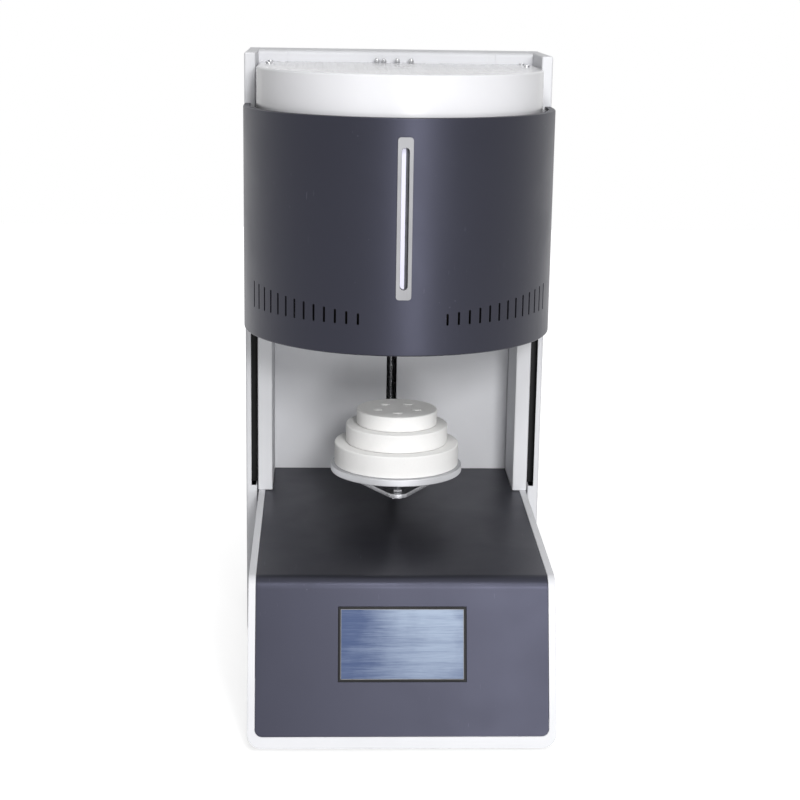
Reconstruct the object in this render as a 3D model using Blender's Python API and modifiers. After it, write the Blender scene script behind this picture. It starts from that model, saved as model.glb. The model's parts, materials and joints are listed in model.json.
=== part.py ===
"""Bottom-loading sintering furnace.

A lift raises an insulated plug, with the crucible on it, into a round heated chamber in the head.
Lengths are metres. The front faces -Y, the floor is Z = 0 and the origin is the middle of the footprint.
"""

import math

import bmesh
import bpy
from mathutils import Matrix, Vector

OBJECT_NAME = "sintering_furnace"

# Clearances that every piece shares
GAP = 0.0003
OVERRUN = 0.010
MERGE = 0.00001
MITRE_LIMIT = 5

# Overall
OVERALL_DEPTH = 0.600
FOOT_HEIGHT = 0.008
CASE_SHEET = 0.002
SHEET_BEND = 0.0025

# Base
BASE_WIDTH = 0.390
FACE_HEIGHT = 0.2015
FACE_LEAN = 0.070
BEND_RADIUS = 0.020
DECK_RISE = 0.0137
RIM_WIDTH = 0.0092
LIP_HEIGHT = 0.0136
BASE_CORNER_RADIUS = 0.0175
MOUTH_CORNER_RADIUS = 0.0095
PANEL_SET_BACK = 0.0004

# Touch screen
SCREEN_WIDTH = 0.1625
SCREEN_HEIGHT = 0.0945
SCREEN_RISE = 0.130
GASKET_WIDTH = 0.0018
GASKET_DEPTH = 0.0045
GLASS_RECESS = 0.0012
GLASS_THICKNESS = 0.003
MODULE_DEPTH = 0.022
MODULE_MARGIN = 0.006

# Feet
FOOT_RADIUS = 0.016
FOOT_TAPER = 0.002
FOOT_INSET_X = 0.035
FOOT_INSET_Y = 0.038

# Column
COLUMN_HEIGHT = 0.840
COLUMN_DEPTH = 0.186
REAR_SPACE = 0.080
REAR_TRIM = 0.003
POST_WIDTH = 0.0212
POST_PROUD = 0.0012
POST_RETURN = 0.040
COLUMN_SEAM = 0.0013
SIDE_COVER_WIDTH = 0.0155
SIDE_COVER_BEND = 0.005
SLOT_WIDTH = 0.0094
SLOT_SILL = 0.007
SLOT_HEIGHT = 0.440
LINER_DEPTH = 0.022
LINER_SHEET = 0.001
BACK_SLOT_WIDTH = 0.0152
BACK_SLOT_BELOW = 0.010
BACK_SLOT_ABOVE = 0.012
PANEL_TUCK = 0.012
TOP_BEND = 0.006

# Rear cover
VENT_ROWS = 8
VENT_ROW_PITCH = 0.016
VENT_ROW_LENGTH = 0.090
VENT_ROW_HEIGHT = 0.005
VENT_ROW_CENTRE_X = 0.110
VENT_TOP_INSET = 0.070
GRILLE_SLOTS = 7
GRILLE_SLOT_HEIGHT = 0.005
GRILLE_PITCH = 0.010

# Head
CAP_DROP = 0.0162
CAP_RISE = 0.0524
COVER_HEIGHT = 0.3048
COVER_STRAIGHT = 0.030
COVER_LIP = 0.009
COVER_EDGE_RADIUS = 0.002
COVER_STEPS = 44
CAP_OVERLAP = 0.0114
CAP_SETBACK = 0.0175
CAP_EDGE_RADIUS = 0.0025
CAP_STEPS = 40
PLATE_RECESS = 0.0074
PLATE_SHEET = 0.003
FRAME_BAR_WIDTH = 0.022
FRAME_BAR_HEIGHT = 0.020
FRAME_REACH = 0.135

# Slots in the cap
CAP_SLOT_COLUMNS = 7
CAP_SLOT_ROWS = 7
CAP_SLOT_LENGTH = 0.024
CAP_SLOT_WIDTH = 0.006
CAP_SLOT_PITCH_X = 0.040
CAP_SLOT_PITCH_Y = 0.034
CAP_SLOT_FRONT_INSET = 0.060

# Vents in the cover
VENT_COUNT = 13
VENT_WIDTH = 0.003
VENT_CHAMFER = 0.001
VENT_SHORT = 0.0152
VENT_LONG = 0.036
VENT_RISE = 0.040
VENT_START_ANGLE = math.radians(15.75)
VENT_PITCH_ANGLE = math.radians(4.24)

# Trim on the cover
TRIM_WIDTH = 0.020
TRIM_HEIGHT = 0.207
TRIM_RISE = 0.0742
TRIM_THICKNESS = 0.002
TRIM_SLOT_WIDTH = 0.010
TRIM_SLOT_HEIGHT = 0.181
TRIM_CHAMFER = 0.004
SLEEVE_WALL = 0.001
SLEEVE_DEPTH = 0.008
STRIP_THICKNESS = 0.002

# Chamber
CHAMBER_FORWARD = 0.068
CHAMBER_RADIUS = 0.075
INSULATION_RADIUS = 0.130
CASING_SHEET = 0.0015
LID_THICKNESS = 0.035
TERMINAL_SPACE = 0.094
MOUTH_CLEARANCE = 0.002
MOUTH_HEADROOM = 0.001
SEAL_GAP = 0.0005
CHAMBER_STEPS = 40

# Heating elements and thermocouple
ELEMENT_COUNT = 4
ELEMENT_RADIUS = 0.003
ELEMENT_TERMINAL_RADIUS = 0.006
ELEMENT_CIRCLE = 0.060
ELEMENT_BEND = 0.018
ELEMENT_ABOVE_LID = 0.050
ELEMENT_FLOOR_GAP = 0.020
ELEMENT_TAPER = 0.008
PROBE_RADIUS = 0.004
PROBE_DEPTH = 0.045
PROBE_HEAD_RADIUS = 0.011
PROBE_HEAD_HEIGHT = 0.018
PROBE_NECK = 0.012

# Stage
DECK_CLEARANCE = 0.0163
ARM_HEIGHT = 0.020
ARM_WIDTH = 0.011
ARM_PAST_AXIS = 0.014
SUPPORT_THICKNESS = 0.006
SUPPORT_CORNER_RADIUS = 0.015
STUD_CIRCLE = 0.065
STUD_HEIGHT = 0.013
STUD_RADIUS = 0.004
STUD_NUT_RADIUS = 0.0065
STUD_NUT_HEIGHT = 0.003
DISC_RADIUS = 0.091
DISC_THICKNESS = 0.0095
DISC_EDGE_RADIUS = 0.001
LOWER_TIER_RADIUS = 0.086
LOWER_TIER_HEIGHT = 0.0306
MIDDLE_TIER_RADIUS = 0.0705
MIDDLE_TIER_HEIGHT = 0.0254
UPPER_TIER_RADIUS = 0.0558
UPPER_TIER_HEIGHT = 0.0210
TIER_EDGE_RADIUS = 0.0015
PIP_COUNT = 5
PIP_CIRCLE = 0.028
PIP_RADIUS = 0.0068
PIP_HEIGHT = 0.0016

# Lift behind the back panel
PLATE_STANDOFF = 0.001
LIFT_PLATE_THICKNESS = 0.008
LIFT_WIDTH = 0.090
SCREW_STANDOFF = 0.030
SCREW_RADIUS = 0.008
JOURNAL_RADIUS = 0.004
ROD_RADIUS = 0.006
ROD_SPACING = 0.060
BLOCK_FRONT = 0.018
BLOCK_HEIGHT = 0.016
CARRIAGE_HEIGHT = 0.050
CARRIAGE_BACK = 0.020
CARRIAGE_DROP = 0.004
NUT_RADIUS = 0.014
NUT_HEIGHT = 0.010
NUT_CLEARANCE = 0.012
END_CLEARANCE = 0.012
MOTOR_SIZE = 0.057
MOTOR_HEIGHT = 0.056
MOTOR_CORNER = 0.004
MOTOR_SHELF = 0.006
MOTOR_SHAFT_RADIUS = 0.004
SHELF_HOLE_RADIUS = 0.015
COUPLING_RADIUS = 0.0125
COUPLING_HEIGHT = 0.026
COUPLING_LIFT = 0.006

# Electrical parts in the base
WALL_CLEARANCE = 0.030
CORE_WIDTH = 0.120
CORE_DEPTH = 0.050
CORE_HEIGHT = 0.100
CORE_LIMB = 0.030
WINDOW_WIDTH = 0.026
WINDOW_HEIGHT = 0.060
COIL_OVERHANG = 0.020
SINK_WIDTH = 0.100
SINK_DEPTH = 0.120
SINK_BASE = 0.010
SINK_HEIGHT = 0.060
FIN_COUNT = 7
FIN_THICKNESS = 0.003
BOARD_WIDTH = 0.140
BOARD_DEPTH = 0.090
BOARD_THICKNESS = 0.002
BOARD_LEG = 0.012
BOARD_LEG_SIZE = 0.007
BOARD_FORWARD = 0.110

# Fan, inlet and switch in the rear cover
FAN_SIZE = 0.080
FAN_DEPTH = 0.025
FAN_CORNER = 0.004
FAN_BORE_RADIUS = 0.037
FAN_TIP_RADIUS = 0.035
FAN_HUB_RADIUS = 0.017
FAN_HUB_DEPTH = 0.014
FAN_STATOR_DEPTH = 0.004
FAN_STRUT_WIDTH = 0.005
FAN_STRUTS = 3
FAN_BLADES = 7
FAN_BLADE_THICKNESS = 0.0015
FAN_BLADE_DEPTH = 0.011
FAN_BLADE_ROOT_SHARE = 0.8
FAN_BLADE_PITCH = math.radians(35)
FAN_OFFSET = 0.110
FAN_RISE = 0.100
INLET_WIDTH = 0.050
INLET_HEIGHT = 0.034
INLET_DEPTH = 0.028
INLET_FLANGE = 0.005
INLET_WALL = 0.004
INLET_CORNER = 0.004
INLET_FLOOR = 0.006
INLET_OFFSET = 0.115
INLET_RISE = 0.062
PIN_WIDTH = 0.008
PIN_THICKNESS = 0.003
PIN_PITCH = 0.013
PIN_LENGTH = 0.016
SWITCH_WIDTH = 0.026
SWITCH_HEIGHT = 0.032
SWITCH_DEPTH = 0.022
SWITCH_WALL = 0.003
SWITCH_RISE = 0.110
ROCKER_TILT = math.radians(7)
ROCKER_END_CLEARANCE = 0.0016
ROCKER_PIVOT_DEPTH = 0.010
ROCKER_ROUND = 0.005

# Places that follow from the sizes above
front_y = -OVERALL_DEPTH / 2
rear_y = OVERALL_DEPTH / 2
base_bottom = FOOT_HEIGHT
face_top_z = base_bottom + FACE_HEIGHT
face_top_y = front_y + FACE_LEAN
face_angle = math.atan2(FACE_LEAN, FACE_HEIGHT)
column_front_y = rear_y - COLUMN_DEPTH
back_wall_y = rear_y - REAR_SPACE
rear_cover_y = rear_y - REAR_TRIM
rear_inner_y = rear_cover_y - CASE_SHEET
shell_rear_y = rear_inner_y - GAP
deck_angle = math.atan2(DECK_RISE, column_front_y - face_top_y)
base_half = BASE_WIDTH / 2
mouth_half = base_half - RIM_WIDTH
post_outer = base_half + POST_PROUD
post_inner = post_outer - POST_WIDTH
side_inner = post_outer + COLUMN_SEAM
column_half = side_inner + SIDE_COVER_WIDTH
column_top = base_bottom + COLUMN_HEIGHT

cap_top = column_top - CAP_DROP
cover_top = cap_top - CAP_RISE
cover_bottom = cover_top - COVER_HEIGHT
cover_y = column_front_y - COVER_STRAIGHT
cap_bottom = cover_top - CAP_OVERLAP
cap_radius = column_half - CAP_SETBACK
plate_bottom = cover_bottom + PLATE_RECESS
plate_top = plate_bottom + PLATE_SHEET
chamber_y = cover_y - CHAMBER_FORWARD


def deck_z(y):
    """Height of the deck at a depth y."""
    return face_top_z + math.tan(deck_angle) * (y - face_top_y)


arm_bottom = deck_z(back_wall_y) + DECK_CLEARANCE
arm_top = arm_bottom + ARM_HEIGHT
support_bottom = arm_top + GAP
support_top = support_bottom + SUPPORT_THICKNESS
disc_bottom = support_top + GAP + STUD_HEIGHT + GAP
disc_top = disc_bottom + DISC_THICKNESS
lower_bottom = disc_top + GAP
lower_top = lower_bottom + LOWER_TIER_HEIGHT
middle_bottom = lower_top + GAP
middle_top = middle_bottom + MIDDLE_TIER_HEIGHT
upper_bottom = middle_top + GAP
upper_top = upper_bottom + UPPER_TIER_HEIGHT
lift_travel = plate_bottom - SEAL_GAP - disc_top

mouth_bottom = plate_top + GAP
mouth_lower_top = lower_top + lift_travel + MOUTH_HEADROOM
mouth_middle_top = middle_top + lift_travel + MOUTH_HEADROOM
chamber_floor = upper_top + PIP_HEIGHT + lift_travel + MOUTH_HEADROOM
lid_top = cap_top - CASE_SHEET - TERMINAL_SPACE
lid_bottom = lid_top - LID_THICKNESS
ring_top = lid_bottom - GAP
casing_inner = INSULATION_RADIUS + GAP
casing_outer = casing_inner + CASING_SHEET

lift_plate_back = rear_inner_y - PLATE_STANDOFF
lift_plate_front = lift_plate_back - LIFT_PLATE_THICKNESS
screw_y = lift_plate_front - SCREW_STANDOFF
block_front_y = screw_y - BLOCK_FRONT
carriage_bottom = arm_bottom - CARRIAGE_DROP
carriage_top = carriage_bottom + CARRIAGE_HEIGHT
nut_bottom = carriage_bottom - NUT_HEIGHT
lower_block_top = nut_bottom - NUT_CLEARANCE
lower_block_bottom = lower_block_top - BLOCK_HEIGHT
upper_block_bottom = carriage_top + lift_travel + END_CLEARANCE
upper_block_top = upper_block_bottom + BLOCK_HEIGHT
coupling_top = lower_block_bottom - COUPLING_LIFT
coupling_bottom = coupling_top - COUPLING_HEIGHT
shelf_top = coupling_bottom - COUPLING_LIFT
shelf_bottom = shelf_top - MOTOR_SHELF
motor_top = shelf_bottom - GAP
floor_top = base_bottom + CASE_SHEET

LEFT_AND_RIGHT = (("left", -1), ("right", 1))


def new_collection(name):
    """A collection linked to the scene."""
    collection = bpy.data.collections.new(name)
    bpy.context.scene.collection.children.link(collection)
    return collection


def clear_scene():
    """Removes every object that the new file came with."""
    for old in list(bpy.data.objects):
        bpy.data.objects.remove(old, do_unlink=True)


clear_scene()
parts = new_collection(OBJECT_NAME)
cutters = new_collection("cutters")


def paint(piece, colour, roughness, metallic):
    """Gives a piece its own Principled material."""
    material = bpy.data.materials.new(piece.name)
    material.use_nodes = True
    shader = material.node_tree.nodes["Principled BSDF"]
    shader.inputs["Base Color"].default_value = (*colour, 1)
    shader.inputs["Roughness"].default_value = roughness
    shader.inputs["Metallic"].default_value = metallic
    material.diffuse_color = (*colour, 1)
    piece.data.materials.append(material)


def white_powder_coat(piece):
    """White powder-coated sheet steel."""
    paint(piece, (0.80, 0.80, 0.82), 0.40, 0)


def charcoal_powder_coat(piece):
    """Charcoal powder coat with a fine texture."""
    paint(piece, (0.045, 0.045, 0.055), 0.45, 0)


def gloss_white(piece):
    """Gloss white lacquered sheet."""
    paint(piece, (0.82, 0.82, 0.84), 0.20, 0)


def black_rubber(piece):
    """Black rubber."""
    paint(piece, (0.012, 0.012, 0.013), 0.80, 0)


def black_plastic(piece):
    """Black moulded plastic."""
    paint(piece, (0.015, 0.015, 0.016), 0.50, 0)


def screen_glass(piece):
    """Blue-grey glass of a dark touch screen."""
    paint(piece, (0.16, 0.21, 0.30), 0.15, 0)


def bright_steel(piece):
    """Bright machined steel."""
    paint(piece, (0.62, 0.62, 0.64), 0.28, 1)


def satin_aluminium(piece):
    """Satin aluminium."""
    paint(piece, (0.70, 0.70, 0.72), 0.38, 1)


def plain_steel(piece):
    """Plain sheet steel."""
    paint(piece, (0.45, 0.45, 0.46), 0.45, 1)


def ceramic_fibre(piece):
    """White ceramic fibre board."""
    paint(piece, (0.88, 0.87, 0.85), 0.90, 0)


def element_ceramic(piece):
    """Dark grey silicide heating rod."""
    paint(piece, (0.16, 0.16, 0.17), 0.50, 0)


def copper_winding(piece):
    """Enamelled copper winding."""
    paint(piece, (0.50, 0.20, 0.08), 0.40, 1)


def board_green(piece):
    """Green circuit board."""
    paint(piece, (0.03, 0.16, 0.07), 0.45, 0)


def light_plastic(piece):
    """Smoked clear plastic of a light strip."""
    paint(piece, (0.10, 0.10, 0.11), 0.25, 0)


def place(name, mesh, matrix, finish):
    """Puts a mesh in the scene, as a part with a finish or as a cutter without one."""
    piece = bpy.data.objects.new(name, mesh)
    piece.matrix_world = matrix
    if finish is None:
        cutters.objects.link(piece)
        piece.hide_render = True
        piece.display_type = "WIRE"
    else:
        parts.objects.link(piece)
        finish(piece)
    return piece


def mesh_from(name, bm):
    """Ends a bmesh as a mesh."""
    mesh = bpy.data.meshes.new(name)
    bm.to_mesh(mesh)
    bm.free()
    return mesh


def add_cube(bm, size, matrix):
    """Adds a box of a size to a bmesh, moved by a matrix."""
    made = bmesh.ops.create_cube(bm, size=1)
    bmesh.ops.scale(bm, vec=size, verts=made["verts"])
    bmesh.ops.transform(bm, matrix=matrix, verts=made["verts"])
    return made["verts"]


def block(name, x, y, z, finish=None, frame=None):
    """A box between low and high values on each axis."""
    size = [abs(end - start) for start, end in (x, y, z)]
    middle = [(start + end) / 2 for start, end in (x, y, z)]
    bm = bmesh.new()
    add_cube(bm, size, Matrix.Identity(4))
    matrix = Matrix.Translation(middle)
    if frame is not None:
        matrix = frame @ matrix
    return place(name, mesh_from(name, bm), matrix, finish)


def boxes(name, size, matrices):
    """Many boxes of one size, as one cutter."""
    bm = bmesh.new()
    for matrix in matrices:
        add_cube(bm, size, matrix)
    return place(name, mesh_from(name, bm), Matrix.Identity(4), None)


AXIS_TURNS = {
    "Z": Matrix.Identity(4),
    "Y": Matrix.Rotation(-math.pi / 2, 4, "X"),
    "X": Matrix.Rotation(math.pi / 2, 4, "Y"),
}


def rod(name, radius, start, length, finish=None, axis="Z", steps=24):
    """A cylinder that runs from a start point along an axis."""
    bm = bmesh.new()
    bmesh.ops.create_cone(
        bm, cap_ends=True, segments=steps, radius1=radius, radius2=radius, depth=length
    )
    bmesh.ops.translate(bm, vec=(0, 0, length / 2), verts=bm.verts)
    mesh = mesh_from(name, bm)
    smooth_round(mesh)
    matrix = Matrix.Translation(start) @ AXIS_TURNS[axis]
    return place(name, mesh, matrix, finish)


def smooth_round(mesh):
    """Smooth shading with sharp corners kept."""
    mesh.shade_smooth()
    mesh.set_sharp_from_angle(angle=math.radians(35))


def turned(name, profile, centre, finish=None, axis="Z", steps=CHAMBER_STEPS):
    """A turned shape. Its (radius, height) profile runs down the outer side."""
    bm = bmesh.new()
    corners = [bm.verts.new((radius, 0, height)) for radius, height in profile]
    for start, end in zip(corners, corners[1:]):
        bm.edges.new((start, end))
    if profile[0][0] > 0:
        bm.edges.new((corners[-1], corners[0]))
    matrix = Matrix.Translation(centre) @ AXIS_TURNS[axis]
    piece = place(name, mesh_from(name, bm), matrix, finish)
    screw = piece.modifiers.new("turn", "SCREW")
    screw.steps = steps
    screw.render_steps = steps
    screw.use_merge_vertices = True
    screw.merge_threshold = MERGE
    screw.use_smooth_shade = False
    return piece


def ring_profile(inner, outer, low, high):
    """The closed profile of a plain ring."""
    return [(outer, high), (outer, low), (inner, low), (inner, high)]


def rounded(path, radius, steps=3, closed=False):
    """A path with each corner replaced by an arc that fits it."""
    points = [Vector(point) for point in path]
    result = []
    for index, corner in enumerate(points):
        at_end = index in (0, len(points) - 1)
        if at_end and not closed:
            result.append(corner)
            continue
        back = points[index - 1] - corner
        ahead = points[(index + 1) % len(points)] - corner
        half = back.angle(ahead) / 2
        reach = min(radius / math.tan(half), min(back.length, ahead.length) / 2)
        fitted = reach * math.tan(half)
        centre = corner + (back.normalized() + ahead.normalized()).normalized() * (fitted / math.sin(half))
        first = corner + back.normalized() * reach - centre
        last = corner + ahead.normalized() * reach - centre
        sweep = first.angle_signed(last)
        for step in range(steps + 1):
            arm = first.copy()
            arm.rotate(Matrix.Rotation(-sweep * step / steps, 2))
            result.append(centre + arm)
    return result


def arc(centre, radius, start, end, steps):
    """Points along an arc between two angles."""
    angles = [start + (end - start) * step / steps for step in range(steps + 1)]
    return [Vector((centre[0] + radius * math.cos(a), centre[1] + radius * math.sin(a))) for a in angles]


def offset_path(path, distance):
    """A path moved to its left by a distance, with mitred corners."""
    points = [Vector(point) for point in path]
    result = []
    for index, point in enumerate(points):
        before = points[max(index - 1, 0)]
        after = points[min(index + 1, len(points) - 1)]
        incoming = (point - before).normalized() if index > 0 else (after - point).normalized()
        outgoing = (after - point).normalized() if index < len(points) - 1 else incoming
        bisector = (incoming + outgoing).normalized()
        normal = Vector((-bisector.y, bisector.x))
        mitre = 1 / max(bisector.dot(incoming), 1 / MITRE_LIMIT)
        result.append(point + normal * distance * mitre)
    return result


def sheet(path, thickness):
    """The closed outline of bent sheet that follows a path on its right side."""
    return [Vector(point) for point in path] + list(reversed(offset_path(path, thickness)))


PLANES = {
    "XY": (Matrix.Identity(4), Vector((0, 0, 1))),
    "YZ": (Matrix(((0, 0, 1, 0), (1, 0, 0, 0), (0, 1, 0, 0), (0, 0, 0, 1))), Vector((1, 0, 0))),
    "XZ": (Matrix(((1, 0, 0, 0), (0, 0, -1, 0), (0, 1, 0, 0), (0, 0, 0, 1))), Vector((0, 1, 0))),
}


def prism(name, outline, plane, low, high, finish=None):
    """A flat outline with thickness between low and high across its plane."""
    curve = bpy.data.curves.new(name, "CURVE")
    curve.dimensions = "2D"
    curve.fill_mode = "BOTH"
    curve.extrude = (high - low) / 2
    spline = curve.splines.new("POLY")
    spline.points.add(len(outline) - 1)
    for point, corner in zip(spline.points, outline):
        point.co = (corner[0], corner[1], 0, 1)
    spline.use_cyclic_u = True
    turn, across = PLANES[plane]
    matrix = Matrix.Translation(across * ((low + high) / 2)) @ turn
    return place(name, mesh_of_curve(name, curve), matrix, finish)


def mesh_of_curve(name, curve):
    """The closed mesh of a curve, which is then removed."""
    shape = bpy.data.objects.new(name + "_outline", curve)
    bpy.context.scene.collection.objects.link(shape)
    seen = shape.evaluated_get(bpy.context.evaluated_depsgraph_get())
    mesh = bpy.data.meshes.new_from_object(seen)
    bpy.data.objects.remove(shape, do_unlink=True)
    mesh.name = name
    mesh.materials.clear()
    bm = bmesh.new()
    bm.from_mesh(mesh)
    bmesh.ops.remove_doubles(bm, verts=bm.verts, dist=MERGE)
    bmesh.ops.recalc_face_normals(bm, faces=bm.faces)
    bm.to_mesh(mesh)
    bm.free()
    mesh.shade_flat()
    return mesh


def combine(target, others, operation):
    """Adds one Boolean step for each of the other shapes."""
    for other in others:
        step = target.modifiers.new(other.name, "BOOLEAN")
        step.operation = operation
        step.solver = "EXACT"
        step.object = other


def cut(target, *others):
    """Takes shapes away from a piece."""
    combine(target, others, "DIFFERENCE")


def add(target, *others):
    """Fuses shapes into a piece."""
    combine(target, others, "UNION")


def trim(target, *others):
    """Keeps only what lies inside the shapes."""
    combine(target, others, "INTERSECT")


def soften(piece, width, segments=2):
    """Rounds the sharp edges of a piece."""
    bevel = piece.modifiers.new("edges", "BEVEL")
    bevel.width = width
    bevel.segments = segments
    bevel.limit_method = "ANGLE"


def desk_path(inset, end_y):
    """The desk's line in the YZ plane, moved inwards: up the face, round the bend, back along the deck."""
    face_up = Vector((math.sin(face_angle), math.cos(face_angle)))
    face_in = Vector((math.cos(face_angle), -math.sin(face_angle)))
    deck_in = Vector((math.sin(deck_angle), -math.cos(deck_angle)))
    half_turn = (math.pi / 2 - face_angle - deck_angle) / 2
    bend = min(BEND_RADIUS, FACE_HEIGHT / 2)
    corner = Vector((face_top_y, face_top_z))
    towards = (face_in + deck_in).normalized()
    centre = corner + towards * (bend / math.cos(half_turn))
    radius = bend - inset
    start = math.pi - face_angle
    end = math.pi / 2 + deck_angle
    start_z = base_bottom + max(inset, 0)
    bottom = Vector((front_y, base_bottom)) + face_in * inset
    bottom += face_up * ((start_z - bottom.y) / face_up.y)
    back = Vector((end_y, deck_z(end_y))) - Vector((0, inset / math.cos(deck_angle)))
    return [bottom, *arc(centre, radius, start, end, 6), back]


def base_prism(name, inset, half_width, end_y, below=0):
    """The base's whole solid, moved inwards by an inset."""
    path = desk_path(inset, end_y)
    outline = [*path, Vector((end_y, path[0].y - below))]
    if below:
        outline.append(Vector((path[0].x, path[0].y - below)))
    return prism(name, outline, "YZ", -half_width, half_width)


def mouth(name, shrink):
    """The opening inside the base's white rim, seen from the front."""
    half = mouth_half - shrink
    low = base_bottom + LIP_HEIGHT + shrink
    high = column_top
    outline = [(half, high), (half, low), (-half, low), (-half, high)]
    path = rounded(outline, MOUTH_CORNER_RADIUS - shrink, 4)
    return prism(name, path, "XZ", front_y - OVERRUN, rear_y + OVERRUN)


def base_shell():
    """White casing of the base: rim, lip, sides and floor in bent sheet, open at the back."""
    low = base_bottom
    high = column_top
    outline = [(base_half, high), (base_half, low), (-base_half, low), (-base_half, high)]
    path = rounded(outline, BASE_CORNER_RADIUS, 5)
    shell = prism("base_shell", path, "XZ", front_y - OVERRUN, shell_rear_y, white_powder_coat)
    trim(shell, base_prism("base_outside", 0, base_half + OVERRUN, shell_rear_y + OVERRUN))
    inner_half = base_half - CASE_SHEET
    inside = base_prism("base_inside", CASE_SHEET, inner_half, shell_rear_y + OVERRUN)
    cut(shell, mouth("base_mouth", 0), inside)


def screen_frame():
    """The touch screen's place on the leaning face: X across, Y up the face and Z out of it."""
    up = Vector((0, math.sin(face_angle), math.cos(face_angle)))
    out = Vector((0, -math.cos(face_angle), math.sin(face_angle)))
    middle = Vector((0, front_y, base_bottom)) + up * SCREEN_RISE
    frame = Matrix((Vector((1, 0, 0)), up, out)).transposed().to_4x4()
    return Matrix.Translation(middle) @ frame


def front_panel():
    """Charcoal sheet that makes the face, the bend and the deck."""
    end_y = back_wall_y - GAP
    outer = desk_path(PANEL_SET_BACK, end_y)
    inner = desk_path(PANEL_SET_BACK + CASE_SHEET, end_y)
    outline = outer + list(reversed(inner))
    panel = prism("front_panel", outline, "YZ", -base_half, base_half, charcoal_powder_coat)
    trim(panel, mouth("panel_edge", GAP))
    for name, side in LEFT_AND_RIGHT:
        notch = block(
            "post_notch_" + name,
            (side * (post_inner - GAP), side * (base_half + OVERRUN)),
            (column_front_y - GAP, rear_y),
            (base_bottom, column_top),
        )
        cut(panel, notch)
    half_x = SCREEN_WIDTH / 2
    half_y = SCREEN_HEIGHT / 2
    reach = (-CASE_SHEET - OVERRUN, OVERRUN)
    opening = block("screen_opening", (-half_x, half_x), (-half_y, half_y), reach, None, screen_frame())
    cut(panel, opening)


def touch_screen():
    """Black gasket, glass and display module in the face's opening."""
    frame = screen_frame()
    outer_x = SCREEN_WIDTH / 2 - GAP
    outer_y = SCREEN_HEIGHT / 2 - GAP
    inner_x = outer_x - GASKET_WIDTH
    inner_y = outer_y - GASKET_WIDTH
    front = -PANEL_SET_BACK
    back = front - GASKET_DEPTH
    span_x = (-outer_x, outer_x)
    span_y = (-outer_y, outer_y)
    gasket = block("screen_gasket", span_x, span_y, (back, front), black_rubber, frame)
    deep = (back - OVERRUN, front + OVERRUN)
    cut(gasket, block("gasket_hole", (-inner_x, inner_x), (-inner_y, inner_y), deep, None, frame))
    glass_x = inner_x - GAP
    glass_y = inner_y - GAP
    glass_front = front - GLASS_RECESS
    glass_back = glass_front - GLASS_THICKNESS
    span_x = (-glass_x, glass_x)
    span_y = (-glass_y, glass_y)
    glass = block("touch_screen", span_x, span_y, (glass_back, glass_front), screen_glass, frame)
    soften(glass, GASKET_WIDTH / 4)
    module_x = SCREEN_WIDTH / 2 + MODULE_MARGIN
    module_y = SCREEN_HEIGHT / 2 + MODULE_MARGIN
    module_front = back - GAP
    depth = (module_front - MODULE_DEPTH, module_front)
    block("display_module", (-module_x, module_x), (-module_y, module_y), depth, black_plastic, frame)


def feet():
    """Four rubber feet under the base."""
    top = base_bottom - GAP
    profile = [(0, top), (FOOT_RADIUS, top), (FOOT_RADIUS - FOOT_TAPER, 0), (0, 0)]
    x = base_half - FOOT_INSET_X
    y = OVERALL_DEPTH / 2 - FOOT_INSET_Y
    for depth_name, depth in (("front", -1), ("rear", 1)):
        for name, side in LEFT_AND_RIGHT:
            turned(f"foot_{depth_name}_{name}", profile, (side * x, depth * y, 0), black_rubber, steps=16)


def side_covers():
    """White hollow sides of the column, with the slot in their front face."""
    low = base_bottom
    sill = deck_z(column_front_y) + SLOT_SILL
    for name, side in LEFT_AND_RIGHT:
        outer = side * column_half
        inner = side * side_inner
        depth = (column_front_y, shell_rear_y)
        cover = block("side_cover_" + name, (inner, outer), depth, (low, column_top), white_powder_coat)
        soften(cover, SIDE_COVER_BEND / 2, 3)
        hollow = block(
            "side_hollow_" + name,
            (inner + side * CASE_SHEET, outer - side * CASE_SHEET),
            (column_front_y + CASE_SHEET, shell_rear_y - CASE_SHEET),
            (low - OVERRUN, column_top - CASE_SHEET),
        )
        window = block(
            "side_window_" + name,
            (inner - side * OVERRUN, side * (post_outer + SLOT_WIDTH)),
            (column_front_y - OVERRUN, column_front_y + LINER_DEPTH),
            (sill, sill + SLOT_HEIGHT),
        )
        cut(cover, hollow, window)


def slot_liners():
    """Black channels that line the slots beside the posts."""
    sill = deck_z(column_front_y) + SLOT_SILL
    back = column_front_y + LINER_DEPTH - GAP
    front = column_front_y + CASE_SHEET + GAP
    for name, side in LEFT_AND_RIGHT:
        inner = side * (side_inner + GAP)
        outer = side * (column_half - CASE_SHEET - GAP)
        path = [(outer, front), (outer, back), (inner, back)]
        outline = sheet(path, side * LINER_SHEET)
        prism("slot_liner_" + name, outline, "XY", sill + GAP, sill + SLOT_HEIGHT - GAP, black_plastic)


def posts():
    """White bent channels beside the recess, which carry the head."""
    back = back_wall_y + CASE_SHEET
    for name, side in LEFT_AND_RIGHT:
        path = [
            (side * post_outer, column_front_y + POST_RETURN),
            (side * post_outer, column_front_y),
            (side * post_inner, column_front_y),
            (side * post_inner, back),
        ]
        outline = sheet(rounded(path, SHEET_BEND, 2), side * -CASE_SHEET)
        low = face_top_z - OVERRUN
        high = cap_bottom - GAP
        post = prism("post_" + name, outline, "XY", low, high, white_powder_coat)
        cut(post, base_prism("post_foot_" + name, -GAP, base_half + POST_WIDTH, rear_y, FACE_HEIGHT / 2))


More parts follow.
